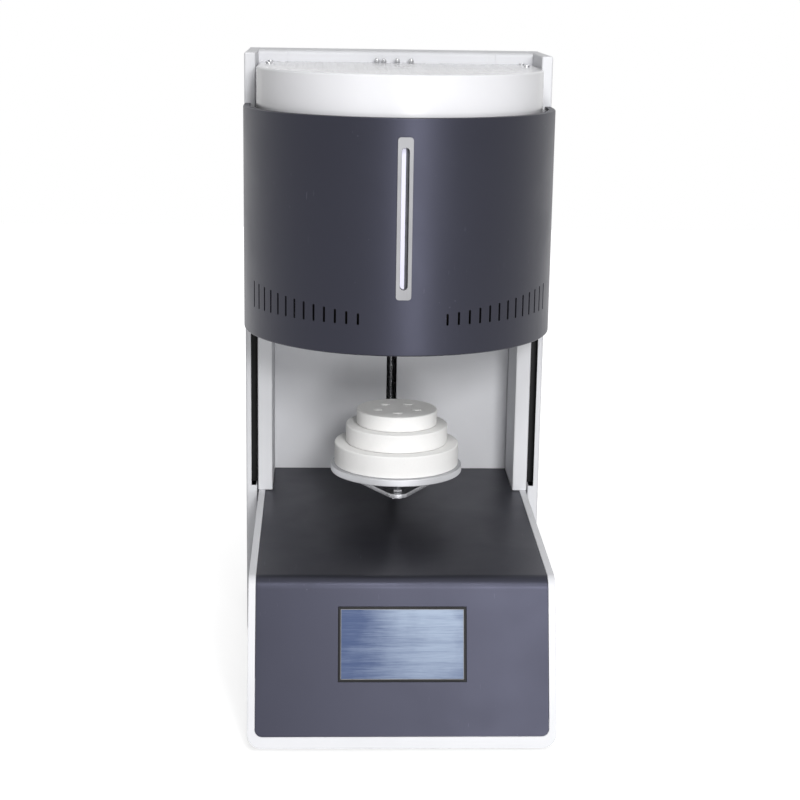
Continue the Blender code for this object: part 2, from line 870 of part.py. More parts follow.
def back_panel():
    """White wall of the recess, with the slot that the lift arm passes through."""
    half = post_inner - GAP
    low = deck_z(back_wall_y) - PANEL_TUCK
    panel = block(
        "back_panel",
        (-half, half),
        (back_wall_y, back_wall_y + CASE_SHEET),
        (low, cap_bottom - GAP),
        white_powder_coat,
    )
    slot_half = BACK_SLOT_WIDTH / 2
    slot = block(
        "back_slot",
        (-slot_half, slot_half),
        (back_wall_y - OVERRUN, back_wall_y + CASE_SHEET + OVERRUN),
        (arm_bottom - BACK_SLOT_BELOW, arm_top + lift_travel + BACK_SLOT_ABOVE),
    )
    cut(panel, slot)


def upper_back_panel():
    """White bent sheet above the head: the wall behind the cap and the column's top."""
    path = [
        (back_wall_y, cap_bottom),
        (back_wall_y, column_top),
        (shell_rear_y, column_top),
    ]
    half = side_inner - GAP
    outline = sheet(rounded(path, TOP_BEND, 4), -CASE_SHEET)
    prism("upper_back_panel", outline, "YZ", -half, half, white_powder_coat)


def rear_cover():
    """White sheet over the column's back, with air slots and cut-outs for fan, inlet and switch."""
    cover = block(
        "rear_cover",
        (-column_half, column_half),
        (rear_inner_y, rear_cover_y),
        (base_bottom, column_top),
        white_powder_coat,
    )
    middle_y = (rear_inner_y + rear_cover_y) / 2
    through = CASE_SHEET + OVERRUN
    slots = []
    for side in (-1, 1):
        for row in range(VENT_ROWS):
            z = column_top - VENT_TOP_INSET - row * VENT_ROW_PITCH
            slots.append(Matrix.Translation((side * VENT_ROW_CENTRE_X, middle_y, z)))
    cut(cover, boxes("rear_vents", (VENT_ROW_LENGTH, through, VENT_ROW_HEIGHT), slots))
    fan_z = base_bottom + FAN_RISE
    grille = []
    for row in range(GRILLE_SLOTS):
        z = fan_z + (row - (GRILLE_SLOTS - 1) / 2) * GRILLE_PITCH
        grille.append(Matrix.Translation((-FAN_OFFSET, middle_y, z)))
    width = math.sqrt(FAN_BORE_RADIUS**2 - (GRILLE_PITCH * (GRILLE_SLOTS - 1) / 2) ** 2) * 2
    cut(cover, boxes("fan_grille", (width, through, GRILLE_SLOT_HEIGHT), grille))
    depth = (rear_inner_y - OVERRUN, rear_y + OVERRUN)
    for name, width, height, rise in (
        ("inlet_opening", INLET_WIDTH, INLET_HEIGHT, INLET_RISE),
        ("switch_opening", SWITCH_WIDTH, SWITCH_HEIGHT, SWITCH_RISE),
    ):
        x = (INLET_OFFSET - width / 2 - GAP, INLET_OFFSET + width / 2 + GAP)
        z = (base_bottom + rise - height / 2 - GAP, base_bottom + rise + height / 2 + GAP)
        cut(cover, block(name, x, depth, z))


def cover_skin(radius, low, high, straight, lip, steps):
    """Open surface of a half-round cover whose edges turn inwards."""
    corners = [(radius - lip, low), (radius, low), (radius, high), (radius - lip, high)]
    profile = rounded(corners, COVER_EDGE_RADIUS, 1)
    bm = bmesh.new()
    corners = [bm.verts.new((x, 0, z)) for x, z in profile]
    edges = [bm.edges.new(pair) for pair in zip(corners, corners[1:])]
    spun = bmesh.ops.spin(
        bm, geom=corners + edges, cent=(0, 0, 0), axis=(0, 0, 1), angle=-math.pi, steps=steps
    )
    far_edges = [item for item in spun["geom_last"] if isinstance(item, bmesh.types.BMEdge)]
    near_edges = [edge for edge in bm.edges if all(v.co.x > 0 and abs(v.co.y) < MERGE for v in edge.verts)]
    for run in (far_edges, near_edges):
        drawn = bmesh.ops.extrude_edge_only(bm, edges=run)
        moved = [item for item in drawn["geom"] if isinstance(item, bmesh.types.BMVert)]
        bmesh.ops.translate(bm, vec=(0, straight, 0), verts=moved)
    bmesh.ops.recalc_face_normals(bm, faces=bm.faces)
    front = min(bm.faces, key=lambda face: face.calc_center_median().y)
    if front.normal.y > 0:
        bmesh.ops.reverse_faces(bm, faces=bm.faces)
    return bm


def vent_matrices(length_of):
    """Places of the vents round the cover, with their lengths."""
    for side in (-1, 1):
        for index in range(VENT_COUNT):
            angle = VENT_START_ANGLE + index * VENT_PITCH_ANGLE
            length = length_of(index / (VENT_COUNT - 1))
            turn = Matrix.Rotation(side * angle, 4, "Z")
            rise = cover_bottom + VENT_RISE + length / 2
            centre = Matrix.Translation((0, cover_y, rise))
            yield centre @ turn @ Matrix.Translation((0, -column_half, 0)), length


def vent_cutter():
    """All the vents of the cover, each with chamfered ends."""
    bm = bmesh.new()
    deep = OVERRUN
    for matrix, length in vent_matrices(lambda share: VENT_SHORT + (VENT_LONG - VENT_SHORT) * share):
        bar = bmesh.new()
        add_cube(bar, (VENT_WIDTH, deep, length), Matrix.Identity(4))
        ends = [edge for edge in bar.edges if abs(edge.verts[0].co.y - edge.verts[1].co.y) > deep / 2]
        bmesh.ops.bevel(bar, geom=ends, offset=VENT_CHAMFER, segments=1, affect="EDGES")
        bmesh.ops.transform(bar, matrix=matrix, verts=bar.verts)
        mesh = mesh_from("vent", bar)
        bm.from_mesh(mesh)
        bpy.data.meshes.remove(mesh)
    return place("cover_vents", mesh_from("cover_vents", bm), Matrix.Identity(4), None)


trim_middle = cover_bottom + TRIM_RISE + TRIM_HEIGHT / 2
cover_front_y = cover_y - column_half


def slot_outline(width, height, round_steps=4):
    """An upright slot with round ends, about the middle of the trim."""
    radius = width / 2
    reach = height / 2 - radius
    upper = arc((0, trim_middle + reach), radius, 0, math.pi, round_steps)
    lower = arc((0, trim_middle - reach), radius, math.pi, 2 * math.pi, round_steps)
    return upper + lower


def head_cover():
    """Charcoal half-round cover of the head, with a vent row on each side."""
    straight = COVER_STRAIGHT - GAP
    skin = cover_skin(column_half, cover_bottom, cover_top, straight, COVER_LIP, COVER_STEPS)
    matrix = Matrix.Translation((0, cover_y, 0))
    cover = place("head_cover", mesh_from("head_cover", skin), matrix, charcoal_powder_coat)
    smooth_round(cover.data)
    wall = cover.modifiers.new("wall", "SOLIDIFY")
    wall.thickness = CASE_SHEET
    wall.offset = -1
    wall.use_even_offset = True
    sleeve = 2 * (SLEEVE_WALL + GAP)
    opening = slot_outline(TRIM_SLOT_WIDTH + sleeve, TRIM_SLOT_HEIGHT + sleeve)
    depth = (cover_front_y - OVERRUN, cover_front_y + OVERRUN)
    cut(cover, vent_cutter(), prism("trim_opening", opening, "XZ", *depth))


def cover_trim():
    """Silver upright frame on the cover, with a sleeve that lines its slot, and the light strip inside."""
    half = TRIM_WIDTH / 2
    top = trim_middle + TRIM_HEIGHT / 2
    low = trim_middle - TRIM_HEIGHT / 2
    corners = [(half, low), (half, top), (-half, top), (-half, low)]
    outline = rounded(corners, TRIM_CHAMFER, 1, closed=True)
    back = cover_front_y - GAP
    trim_piece = prism("cover_trim", outline, "XZ", back - TRIM_THICKNESS, back, satin_aluminium)
    soften(trim_piece, TRIM_THICKNESS / 4, 1)
    sleeve = slot_outline(TRIM_SLOT_WIDTH + 2 * SLEEVE_WALL, TRIM_SLOT_HEIGHT + 2 * SLEEVE_WALL)
    add(trim_piece, prism("trim_sleeve", sleeve, "XZ", back - TRIM_THICKNESS / 2, back + SLEEVE_DEPTH))
    hole = slot_outline(TRIM_SLOT_WIDTH, TRIM_SLOT_HEIGHT)
    cut(trim_piece, prism("trim_hole", hole, "XZ", back - OVERRUN, back + SLEEVE_DEPTH + OVERRUN))
    strip = slot_outline(TRIM_SLOT_WIDTH - 2 * GAP, TRIM_SLOT_HEIGHT - 2 * GAP)
    strip_back = back + SLEEVE_DEPTH
    prism("light_strip", strip, "XZ", strip_back - STRIP_THICKNESS, strip_back, light_plastic)


def half_round(radius, end_y, end_half=None, steps=CAP_STEPS):
    """A half-round outline about the cover's centre, with straight sides back to end_y."""
    front = arc((0, cover_y), radius, math.pi, 2 * math.pi, steps)
    if end_half is None:
        return [*front, Vector((radius, end_y)), Vector((-radius, end_y))]
    shoulder = column_front_y - GAP
    return [
        *front,
        Vector((radius, shoulder)),
        Vector((end_half, shoulder)),
        Vector((end_half, end_y)),
        Vector((-end_half, end_y)),
        Vector((-end_half, shoulder)),
        Vector((-radius, shoulder)),
    ]


def cap_slot_places():
    """Rows of slots over the cap, each second row shifted by half a pitch."""
    middle_z = cap_top - CASE_SHEET / 2
    first_y = cover_y - cap_radius + CAP_SLOT_FRONT_INSET
    for row in range(CAP_SLOT_ROWS):
        shifted = row % 2
        count = CAP_SLOT_COLUMNS - shifted
        for column in range(count):
            x = (column - (count - 1) / 2) * CAP_SLOT_PITCH_X
            yield Matrix.Translation((x, first_y + row * CAP_SLOT_PITCH_Y, middle_z))


def head_cap():
    """Gloss white perforated cap that closes the head's top."""
    end_y = back_wall_y - GAP
    cap = prism("head_cap", half_round(cap_radius, end_y), "XY", cap_bottom, cap_top, gloss_white)
    soften(cap, CAP_EDGE_RADIUS, 2)
    hollow = half_round(cap_radius - CASE_SHEET, end_y - CASE_SHEET)
    cut(cap, prism("cap_hollow", hollow, "XY", cap_bottom - OVERRUN, cap_top - CASE_SHEET))
    size = (CAP_SLOT_LENGTH, CAP_SLOT_WIDTH, CASE_SHEET + OVERRUN)
    cut(cap, boxes("cap_slots", size, cap_slot_places()))


def head_bottom_plate():
    """Steel plate that closes the head from below, with the hole for the plug."""
    radius = column_half - CASE_SHEET - GAP
    outline = half_round(radius, back_wall_y - GAP, post_inner - GAP)
    plate = prism("head_bottom_plate", outline, "XY", plate_bottom, plate_top, plain_steel)
    hole = LOWER_TIER_RADIUS + MOUTH_CLEARANCE
    start = (0, chamber_y, plate_bottom - OVERRUN)
    cut(plate, rod("plug_hole", hole, start, PLATE_SHEET + 2 * OVERRUN, steps=CHAMBER_STEPS))


def head_frame():
    """Steel frame between the posts that carries the chamber and the bottom plate."""
    low = plate_top + GAP
    high = low + FRAME_BAR_HEIGHT
    outer = post_inner - GAP
    back = back_wall_y - GAP
    front = column_front_y - FRAME_REACH
    frame = block("head_frame", (-outer, outer), (front, back), (low, high), plain_steel)
    inner = outer - FRAME_BAR_WIDTH
    inside = block(
        "frame_inside",
        (-inner, inner),
        (front - OVERRUN, back - FRAME_BAR_WIDTH),
        (low - OVERRUN, high + OVERRUN),
    )
    cut(frame, inside)


def chamber():
    """Casing, insulation ring with its stepped mouth, and lid."""
    centre = (0, chamber_y, 0)
    casing = ring_profile(casing_inner, casing_outer, mouth_bottom, lid_top)
    turned("chamber_casing", casing, centre, bright_steel)
    lower = LOWER_TIER_RADIUS + MOUTH_CLEARANCE
    middle = MIDDLE_TIER_RADIUS + MOUTH_CLEARANCE
    upper = UPPER_TIER_RADIUS + MOUTH_CLEARANCE
    ring = [
        (INSULATION_RADIUS, ring_top),
        (INSULATION_RADIUS, mouth_bottom),
        (lower, mouth_bottom),
        (lower, mouth_lower_top),
        (middle, mouth_lower_top),
        (middle, mouth_middle_top),
        (upper, mouth_middle_top),
        (upper, chamber_floor),
        (CHAMBER_RADIUS, chamber_floor),
        (CHAMBER_RADIUS, ring_top),
    ]
    turned("insulation_ring", ring, centre, ceramic_fibre)
    lid = rod(
        "insulation_lid",
        INSULATION_RADIUS,
        (0, chamber_y, lid_bottom),
        LID_THICKNESS,
        ceramic_fibre,
        steps=CHAMBER_STEPS,
    )
    start_z = lid_bottom - OVERRUN
    length = LID_THICKNESS + 2 * OVERRUN
    for index in range(ELEMENT_COUNT):
        frame = element_frame(index)
        for side in (-1, 1):
            spot = frame @ Vector((side * ELEMENT_BEND, 0, start_z))
            hole = ELEMENT_TERMINAL_RADIUS + GAP
            cut(lid, rod(f"element_hole_{index}_{side}", hole, spot, length, steps=12))
    cut(lid, rod("probe_hole", PROBE_RADIUS + GAP, (0, chamber_y, start_z), length, steps=12))


def element_frame(index):
    """Place of a heating element: its plane faces the chamber's axis."""
    angle = 2 * math.pi * (index + 1 / 2) / ELEMENT_COUNT
    turn = Matrix.Rotation(angle, 4, "Z")
    return Matrix.Translation((0, chamber_y, 0)) @ turn @ Matrix.Translation((0, -ELEMENT_CIRCLE, 0))


def heating_elements():
    """U-shaped heating rods with thick terminals through the lid."""
    top = lid_top + ELEMENT_ABOVE_LID
    bend_z = chamber_floor + ELEMENT_FLOOR_GAP + ELEMENT_BEND
    thick = ELEMENT_TERMINAL_RADIUS / ELEMENT_RADIUS
    shoulder = ring_top - ELEMENT_TAPER
    leg = [(top, thick), (shoulder, thick), (shoulder - ELEMENT_TAPER, 1)]
    for index in range(ELEMENT_COUNT):
        curve = bpy.data.curves.new("element", "CURVE")
        curve.dimensions = "3D"
        curve.bevel_depth = ELEMENT_RADIUS
        curve.bevel_resolution = 1
        curve.use_fill_caps = True
        bend = arc((0, bend_z), ELEMENT_BEND, math.pi, 2 * math.pi, 6)
        points = [(-ELEMENT_BEND, z, radius) for z, radius in leg]
        points += [(point.x, point.y, 1) for point in bend]
        points += [(ELEMENT_BEND, z, radius) for z, radius in reversed(leg)]
        spline = curve.splines.new("POLY")
        spline.points.add(len(points) - 1)
        for point, (x, z, radius) in zip(spline.points, points):
            point.co = (x, 0, z, 1)
            point.radius = radius
        name = f"heating_element_{index + 1}"
        place(name, mesh_of_curve(name, curve), element_frame(index), element_ceramic)


def thermocouple():
    """Sheathed probe through the lid, with its terminal head."""
    tip = ring_top - PROBE_DEPTH
    head_low = lid_top + PROBE_NECK
    head_top = head_low + PROBE_HEAD_HEIGHT
    profile = [
        (0, head_top),
        (PROBE_HEAD_RADIUS, head_top),
        (PROBE_HEAD_RADIUS, head_low),
        (PROBE_RADIUS, head_low),
        (PROBE_RADIUS, tip),
        (0, tip),
    ]
    turned("thermocouple", profile, (0, chamber_y, 0), bright_steel, steps=12)


def stud_places():
    """Three places round the stage's axis, the first at the front."""
    for index, name in enumerate(("front", "right", "left")):
        angle = -math.pi / 2 + index * 2 * math.pi / 3
        yield name, STUD_CIRCLE * math.cos(angle), chamber_y + STUD_CIRCLE * math.sin(angle), angle


def support_plate():
    """Rounded triangular steel plate that carries the stage."""
    outline = []
    for _, x, y, angle in stud_places():
        outline += arc((x, y), SUPPORT_CORNER_RADIUS, angle - math.pi / 3, angle + math.pi / 3, 6)
    plate = prism("support_plate", outline, "XY", support_bottom, support_top, bright_steel)
    soften(plate, SUPPORT_THICKNESS / 12, 1)


def level_studs():
    """Three studs with nuts that level the disc on the support plate."""
    low = support_top + GAP
    high = low + STUD_HEIGHT
    profile = [
        (0, high),
        (STUD_NUT_RADIUS, high),
        (STUD_NUT_RADIUS, high - STUD_NUT_HEIGHT),
        (STUD_RADIUS, high - STUD_NUT_HEIGHT),
        (STUD_RADIUS, low + STUD_NUT_HEIGHT),
        (STUD_NUT_RADIUS, low + STUD_NUT_HEIGHT),
        (STUD_NUT_RADIUS, low),
        (0, low),
    ]
    for name, x, y, _ in stud_places():
        turned("level_stud_" + name, profile, (x, y, 0), bright_steel, steps=12)


def round_tier(name, radius, low, high, edge, finish):
    """A disc with a small radius on its rims."""
    piece = rod(name, radius, (0, chamber_y, low), high - low, finish, steps=CHAMBER_STEPS)
    soften(piece, edge, 2)
    return piece


def stage_disc():
    """Silver disc that closes the chamber from below."""
    round_tier("stage_disc", DISC_RADIUS, disc_bottom, disc_top, DISC_EDGE_RADIUS, bright_steel)


def plug():
    """Three tiers of ceramic fibre board, with the crucible's seat pips on the top one."""
    finish = (TIER_EDGE_RADIUS, ceramic_fibre)
    round_tier("plug_lower", LOWER_TIER_RADIUS, lower_bottom, lower_top, *finish)
    round_tier("plug_middle", MIDDLE_TIER_RADIUS, middle_bottom, middle_top, *finish)
    upper = round_tier("plug_upper", UPPER_TIER_RADIUS, upper_bottom, upper_top, *finish)
    for index in range(PIP_COUNT):
        angle = -math.pi / 2 + index * 2 * math.pi / PIP_COUNT
        spot = (PIP_CIRCLE * math.cos(angle), chamber_y + PIP_CIRCLE * math.sin(angle), upper_top)
        bm = bmesh.new()
        bmesh.ops.create_uvsphere(bm, u_segments=10, v_segments=6, radius=1)
        bmesh.ops.scale(bm, vec=(PIP_RADIUS, PIP_RADIUS, PIP_HEIGHT), verts=bm.verts)
        name = f"pip_{index}"
        add(upper, place(name, mesh_from(name, bm), Matrix.Translation(spot), None))


def lift_arm():
    """Steel bar from the carriage through the back panel's slot to the stage."""
    half = ARM_WIDTH / 2
    depth = (chamber_y - ARM_PAST_AXIS, block_front_y - GAP)
    block("lift_arm", (-half, half), depth, (arm_bottom, arm_top), bright_steel)


def lift_holes(name, low, high, centre_radius):
    """Cutters for the screw and the two guide rods."""
    length = high - low + 2 * OVERRUN
    start = low - OVERRUN
    holes = [rod(name + "_screw_hole", centre_radius, (0, screw_y, start), length, steps=16)]
    for side_name, side in LEFT_AND_RIGHT:
        spot = (side * ROD_SPACING / 2, screw_y, start)
        holes.append(rod(f"{name}_rod_hole_{side_name}", ROD_RADIUS + GAP, spot, length, steps=16))
    return holes


def carriage():
    """Aluminium block with its nut, which rides on the guide rods."""
    half = LIFT_WIDTH / 2
    depth = (block_front_y, screw_y + CARRIAGE_BACK)
    piece = block("carriage", (-half, half), depth, (carriage_bottom, carriage_top), satin_aluminium)
    start = (0, screw_y, nut_bottom)
    add(piece, rod("nut_body", NUT_RADIUS, start, NUT_HEIGHT + OVERRUN, steps=20))
    cut(piece, *lift_holes("carriage", nut_bottom, carriage_top, SCREW_RADIUS + GAP))


def bearing_blocks():
    """Aluminium blocks that hold the rods' ends and the screw's journals."""
    half = LIFT_WIDTH / 2
    for name, low, high in (
        ("lower_bearing_block", lower_block_bottom, lower_block_top),
        ("upper_bearing_block", upper_block_bottom, upper_block_top),
    ):
        depth = (block_front_y, lift_plate_front - GAP)
        piece = block(name, (-half, half), depth, (low, high), satin_aluminium)
        start = (0, screw_y, low - OVERRUN)
        length = high - low + 2 * OVERRUN
        cut(piece, rod(name + "_bore", JOURNAL_RADIUS + GAP, start, length, steps=16))


def guide_rods():
    """Two hardened rods between the bearing blocks."""
    low = lower_block_top + GAP
    length = upper_block_bottom - GAP - low
    for name, side in LEFT_AND_RIGHT:
        start = (side * ROD_SPACING / 2, screw_y, low)
        rod("guide_rod_" + name, ROD_RADIUS, start, length, bright_steel, steps=16)


def lead_screw():
    """Screw with a journal at each end."""
    top = upper_block_top
    low = (coupling_top + coupling_bottom) / 2 + GAP
    shoulder_top = upper_block_bottom - GAP
    shoulder_low = lower_block_top + GAP
    profile = [
        (0, top),
        (JOURNAL_RADIUS, top),
        (JOURNAL_RADIUS, shoulder_top),
        (SCREW_RADIUS, shoulder_top),
        (SCREW_RADIUS, shoulder_low),
        (JOURNAL_RADIUS, shoulder_low),
        (JOURNAL_RADIUS, low),
        (0, low),
    ]
    turned("lead_screw", profile, (0, screw_y, 0), bright_steel, steps=16)


def motor_coupling():
    """Coupling with the motor's shaft, open at the top for the screw's journal."""
    middle = (coupling_top + coupling_bottom) / 2
    shaft_low = motor_top + GAP
    profile = [
        (0, middle),
        (JOURNAL_RADIUS + GAP, middle),
        (JOURNAL_RADIUS + GAP, coupling_top),
        (COUPLING_RADIUS, coupling_top),
        (COUPLING_RADIUS, coupling_bottom),
        (MOTOR_SHAFT_RADIUS, coupling_bottom),
        (MOTOR_SHAFT_RADIUS, shaft_low),
        (0, shaft_low),
    ]
    turned("motor_coupling", profile, (0, screw_y, 0), satin_aluminium, steps=16)


def lift_motor():
    """Square stepping motor that hangs under the lift plate's shelf."""
    half = MOTOR_SIZE / 2
    y = (screw_y - half, screw_y + half)
    motor = block("lift_motor", (-half, half), y, (motor_top - MOTOR_HEIGHT, motor_top), black_plastic)
    soften(motor, MOTOR_CORNER, 1)


def lift_plate():
    """Upright plate on the base's floor that carries the whole lift, with the motor's shelf."""
    half = LIFT_WIDTH / 2
    low = floor_top + GAP
    depth = (lift_plate_front, lift_plate_back)
    plate = block("lift_plate", (-half, half), depth, (low, upper_block_top), satin_aluminium)
    shelf_depth = (screw_y - MOTOR_SIZE / 2, lift_plate_front + LIFT_PLATE_THICKNESS / 2)
    shelf_half = MOTOR_SIZE / 2
    add(plate, block("motor_shelf", (-shelf_half, shelf_half), shelf_depth, (shelf_bottom, shelf_top)))
    start = (0, screw_y, shelf_bottom - OVERRUN)
    cut(plate, rod("shelf_hole", SHELF_HOLE_RADIUS, start, MOTOR_SHELF + 2 * OVERRUN, steps=20))


def transformer():
    """Laminated core with two windows, and the winding round its middle limb."""
    low = floor_top + GAP
    x0 = -base_half + WALL_CLEARANCE + CORE_WIDTH / 2
    y0 = (face_top_y + back_wall_y) / 2
    half_x = CORE_WIDTH / 2
    half_y = CORE_DEPTH / 2
    x = (x0 - half_x, x0 + half_x)
    y = (y0 - half_y, y0 + half_y)
    core = block("transformer_core", x, y, (low, low + CORE_HEIGHT), plain_steel)
    middle_z = low + CORE_HEIGHT / 2
    window_z = (middle_z - WINDOW_HEIGHT / 2, middle_z + WINDOW_HEIGHT / 2)
    through = (y0 - half_y - OVERRUN, y0 + half_y + OVERRUN)
    for name, side in LEFT_AND_RIGHT:
        near = x0 + side * CORE_LIMB / 2
        far = near + side * WINDOW_WIDTH
        cut(core, block("core_window_" + name, (near, far), through, window_z))
    outer_x = CORE_LIMB / 2 + WINDOW_WIDTH - GAP
    outer_y = half_y + COIL_OVERHANG
    coil_z = (window_z[0] + GAP, window_z[1] - GAP)
    span_x = (x0 - outer_x, x0 + outer_x)
    span_y = (y0 - outer_y, y0 + outer_y)
    coil = block("transformer_coil", span_x, span_y, coil_z, copper_winding)
    inner_x = CORE_LIMB / 2 + GAP
    inner_y = half_y + GAP
    limb = block(
        "coil_limb",
        (x0 - inner_x, x0 + inner_x),
        (y0 - inner_y, y0 + inner_y),
        (coil_z[0] - OVERRUN, coil_z[1] + OVERRUN),
    )
    cut(coil, limb)


def power_controller():
    """Finned heat sink of the power controller."""
    low = floor_top + GAP
    x1 = base_half - WALL_CLEARANCE
    x0 = x1 - SINK_WIDTH
    y0 = (face_top_y + back_wall_y) / 2
    y = (y0 - SINK_DEPTH / 2, y0 + SINK_DEPTH / 2)
    sink = block("power_controller", (x0, x1), y, (low, low + SINK_HEIGHT), satin_aluminium)
    pitch = (SINK_WIDTH - FIN_THICKNESS) / (FIN_COUNT - 1)
    groove = pitch - FIN_THICKNESS
    height = SINK_HEIGHT - SINK_BASE + OVERRUN
    middle_z = low + SINK_BASE + height / 2
    grooves = []
    for index in range(FIN_COUNT - 1):
        x = x0 + FIN_THICKNESS + groove / 2 + index * pitch
        grooves.append(Matrix.Translation((x, y0, middle_z)))
    cut(sink, boxes("sink_grooves", (groove, SINK_DEPTH + 2 * OVERRUN, height), grooves))


def control_board():
    """Circuit board on four legs."""
    low = floor_top + GAP
    x1 = base_half - WALL_CLEARANCE
    x0 = x1 - BOARD_WIDTH
    y0 = (face_top_y + back_wall_y) / 2 - BOARD_FORWARD
    y = (y0 - BOARD_DEPTH / 2, y0 + BOARD_DEPTH / 2)
    board_z = (low + BOARD_LEG, low + BOARD_LEG + BOARD_THICKNESS)
    board = block("control_board", (x0, x1), y, board_z, board_green)
    half = BOARD_LEG_SIZE / 2
    middle_z = low + (BOARD_LEG + BOARD_THICKNESS / 2) / 2
    legs = []
    for x in (x0 + BOARD_LEG_SIZE, x1 - BOARD_LEG_SIZE):
        for spot_y in (y[0] + BOARD_LEG_SIZE, y[1] - BOARD_LEG_SIZE):
            legs.append(Matrix.Translation((x, spot_y, middle_z)))
    add(board, boxes("board_legs", (2 * half, 2 * half, BOARD_LEG + BOARD_THICKNESS / 2), legs))


def fan():
    """Axial fan behind the rear cover: housing with its stator, and the rotor."""
    centre_z = base_bottom + FAN_RISE
    back = rear_inner_y - GAP
    front = back - FAN_DEPTH
    half = FAN_SIZE / 2
    x = (-FAN_OFFSET - half, -FAN_OFFSET + half)
    z = (centre_z - half, centre_z + half)
    housing = block("fan_housing", x, (front, back), z, black_plastic)
    soften(housing, FAN_CORNER, 1)
    start = (-FAN_OFFSET, front - OVERRUN, centre_z)
    length = FAN_DEPTH + 2 * OVERRUN
    cut(housing, rod("fan_bore", FAN_BORE_RADIUS, start, length, axis="Y", steps=28))
    stator_start = (-FAN_OFFSET, front, centre_z)
    add(housing, rod("fan_stator", FAN_HUB_RADIUS, stator_start, FAN_STATOR_DEPTH, axis="Y", steps=20))
    reach = FAN_BORE_RADIUS + FAN_CORNER / 2
    for index in range(FAN_STRUTS):
        turn = Matrix.Rotation(2 * math.pi * index / FAN_STRUTS, 4, "Y")
        spot = Matrix.Translation((-FAN_OFFSET, front + FAN_STATOR_DEPTH / 2, centre_z))
        matrix = spot @ turn @ Matrix.Translation((reach / 2, 0, 0))
        add(housing, boxes(f"fan_strut_{index}", (reach, FAN_STATOR_DEPTH, FAN_STRUT_WIDTH), [matrix]))
    fan_rotor(front + FAN_STATOR_DEPTH + GAP, centre_z)


def fan_rotor(start_y, centre_z):
    """Hub with pitched blades, with its origin on its axis."""
    start = (-FAN_OFFSET, start_y, centre_z)
    rotor = rod("fan_rotor", FAN_HUB_RADIUS, start, FAN_HUB_DEPTH, black_plastic, axis="Y", steps=20)
    root = FAN_HUB_RADIUS * FAN_BLADE_ROOT_SHARE
    length = FAN_TIP_RADIUS - root
    for index in range(FAN_BLADES):
        turn = Matrix.Rotation(2 * math.pi * index / FAN_BLADES, 4, "Y")
        spot = Matrix.Translation((-FAN_OFFSET, start_y + FAN_HUB_DEPTH / 2, centre_z))
        pitch = Matrix.Rotation(FAN_BLADE_PITCH, 4, "X")
        matrix = spot @ turn @ Matrix.Translation((root + length / 2, 0, 0)) @ pitch
        size = (length, FAN_BLADE_THICKNESS, FAN_BLADE_DEPTH)
        add(rotor, boxes(f"fan_blade_{index}", size, [matrix]))


def power_inlet():
    """Mains inlet: flanged socket with three pins."""
    centre_z = base_bottom + INLET_RISE
    half_x = INLET_WIDTH / 2
    half_z = INLET_HEIGHT / 2
    x = (INLET_OFFSET - half_x, INLET_OFFSET + half_x)
    z = (centre_z - half_z, centre_z + half_z)
    inlet = block("power_inlet", x, (rear_y - INLET_DEPTH, rear_y), z, black_plastic)
    soften(inlet, INLET_CORNER, 1)
    flange_x = (x[0] - INLET_FLANGE, x[1] + INLET_FLANGE)
    flange_z = (z[0] - INLET_FLANGE, z[1] + INLET_FLANGE)
    flange_y = (rear_cover_y + GAP, rear_y)
    add(inlet, block("inlet_flange", flange_x, flange_y, flange_z))
    pocket = block(
        "inlet_pocket",
        (x[0] + INLET_WALL, x[1] - INLET_WALL),
        (rear_y - INLET_DEPTH + INLET_FLOOR, rear_y + OVERRUN),
        (z[0] + INLET_WALL, z[1] - INLET_WALL),
    )
    cut(inlet, pocket)
    pin_y = rear_y - INLET_DEPTH + INLET_FLOOR / 2 + PIN_LENGTH / 2
    pins = [Matrix.Translation((INLET_OFFSET + step * PIN_PITCH, pin_y, centre_z)) for step in (-1, 0, 1)]
    add(inlet, boxes("inlet_pins", (PIN_THICKNESS, PIN_LENGTH, PIN_WIDTH), pins))


def power_switch():
    """Switch frame and its rocker, whose origin is on the pivot."""
    centre_z = base_bottom + SWITCH_RISE
    half_x = SWITCH_WIDTH / 2
    half_z = SWITCH_HEIGHT / 2
    x = (INLET_OFFSET - half_x, INLET_OFFSET + half_x)
    z = (centre_z - half_z, centre_z + half_z)
    frame = block("switch_frame", x, (rear_y - SWITCH_DEPTH, rear_y - GAP), z, black_plastic)
    pocket = block(
        "switch_pocket",
        (x[0] + SWITCH_WALL, x[1] - SWITCH_WALL),
        (rear_y - SWITCH_DEPTH + SWITCH_WALL, rear_y + OVERRUN),
        (z[0] + SWITCH_WALL, z[1] - SWITCH_WALL),
    )
    cut(frame, pocket)
    width = half_x - SWITCH_WALL - GAP
    reach = half_z - SWITCH_WALL - ROCKER_END_CLEARANCE
    face = ROCKER_PIVOT_DEPTH - reach * math.sin(ROCKER_TILT)
    outline = [
        (-ROCKER_ROUND, 0),
        (0, ROCKER_ROUND),
        (face - ROCKER_ROUND / 2, reach),
        (face, reach),
        (face - ROCKER_ROUND / 4, 0),
        (face, -reach),
        (face - ROCKER_ROUND / 2, -reach),
        (0, -ROCKER_ROUND),
    ]
    rocker = prism("switch_rocker", outline, "YZ", -width, width, black_plastic)
    pivot = Vector((INLET_OFFSET, rear_y - ROCKER_PIVOT_DEPTH, centre_z))
    tilt = Matrix.Rotation(ROCKER_TILT, 4, "X")
    rocker.matrix_world = Matrix.Translation(pivot) @ tilt @ rocker.matrix_world


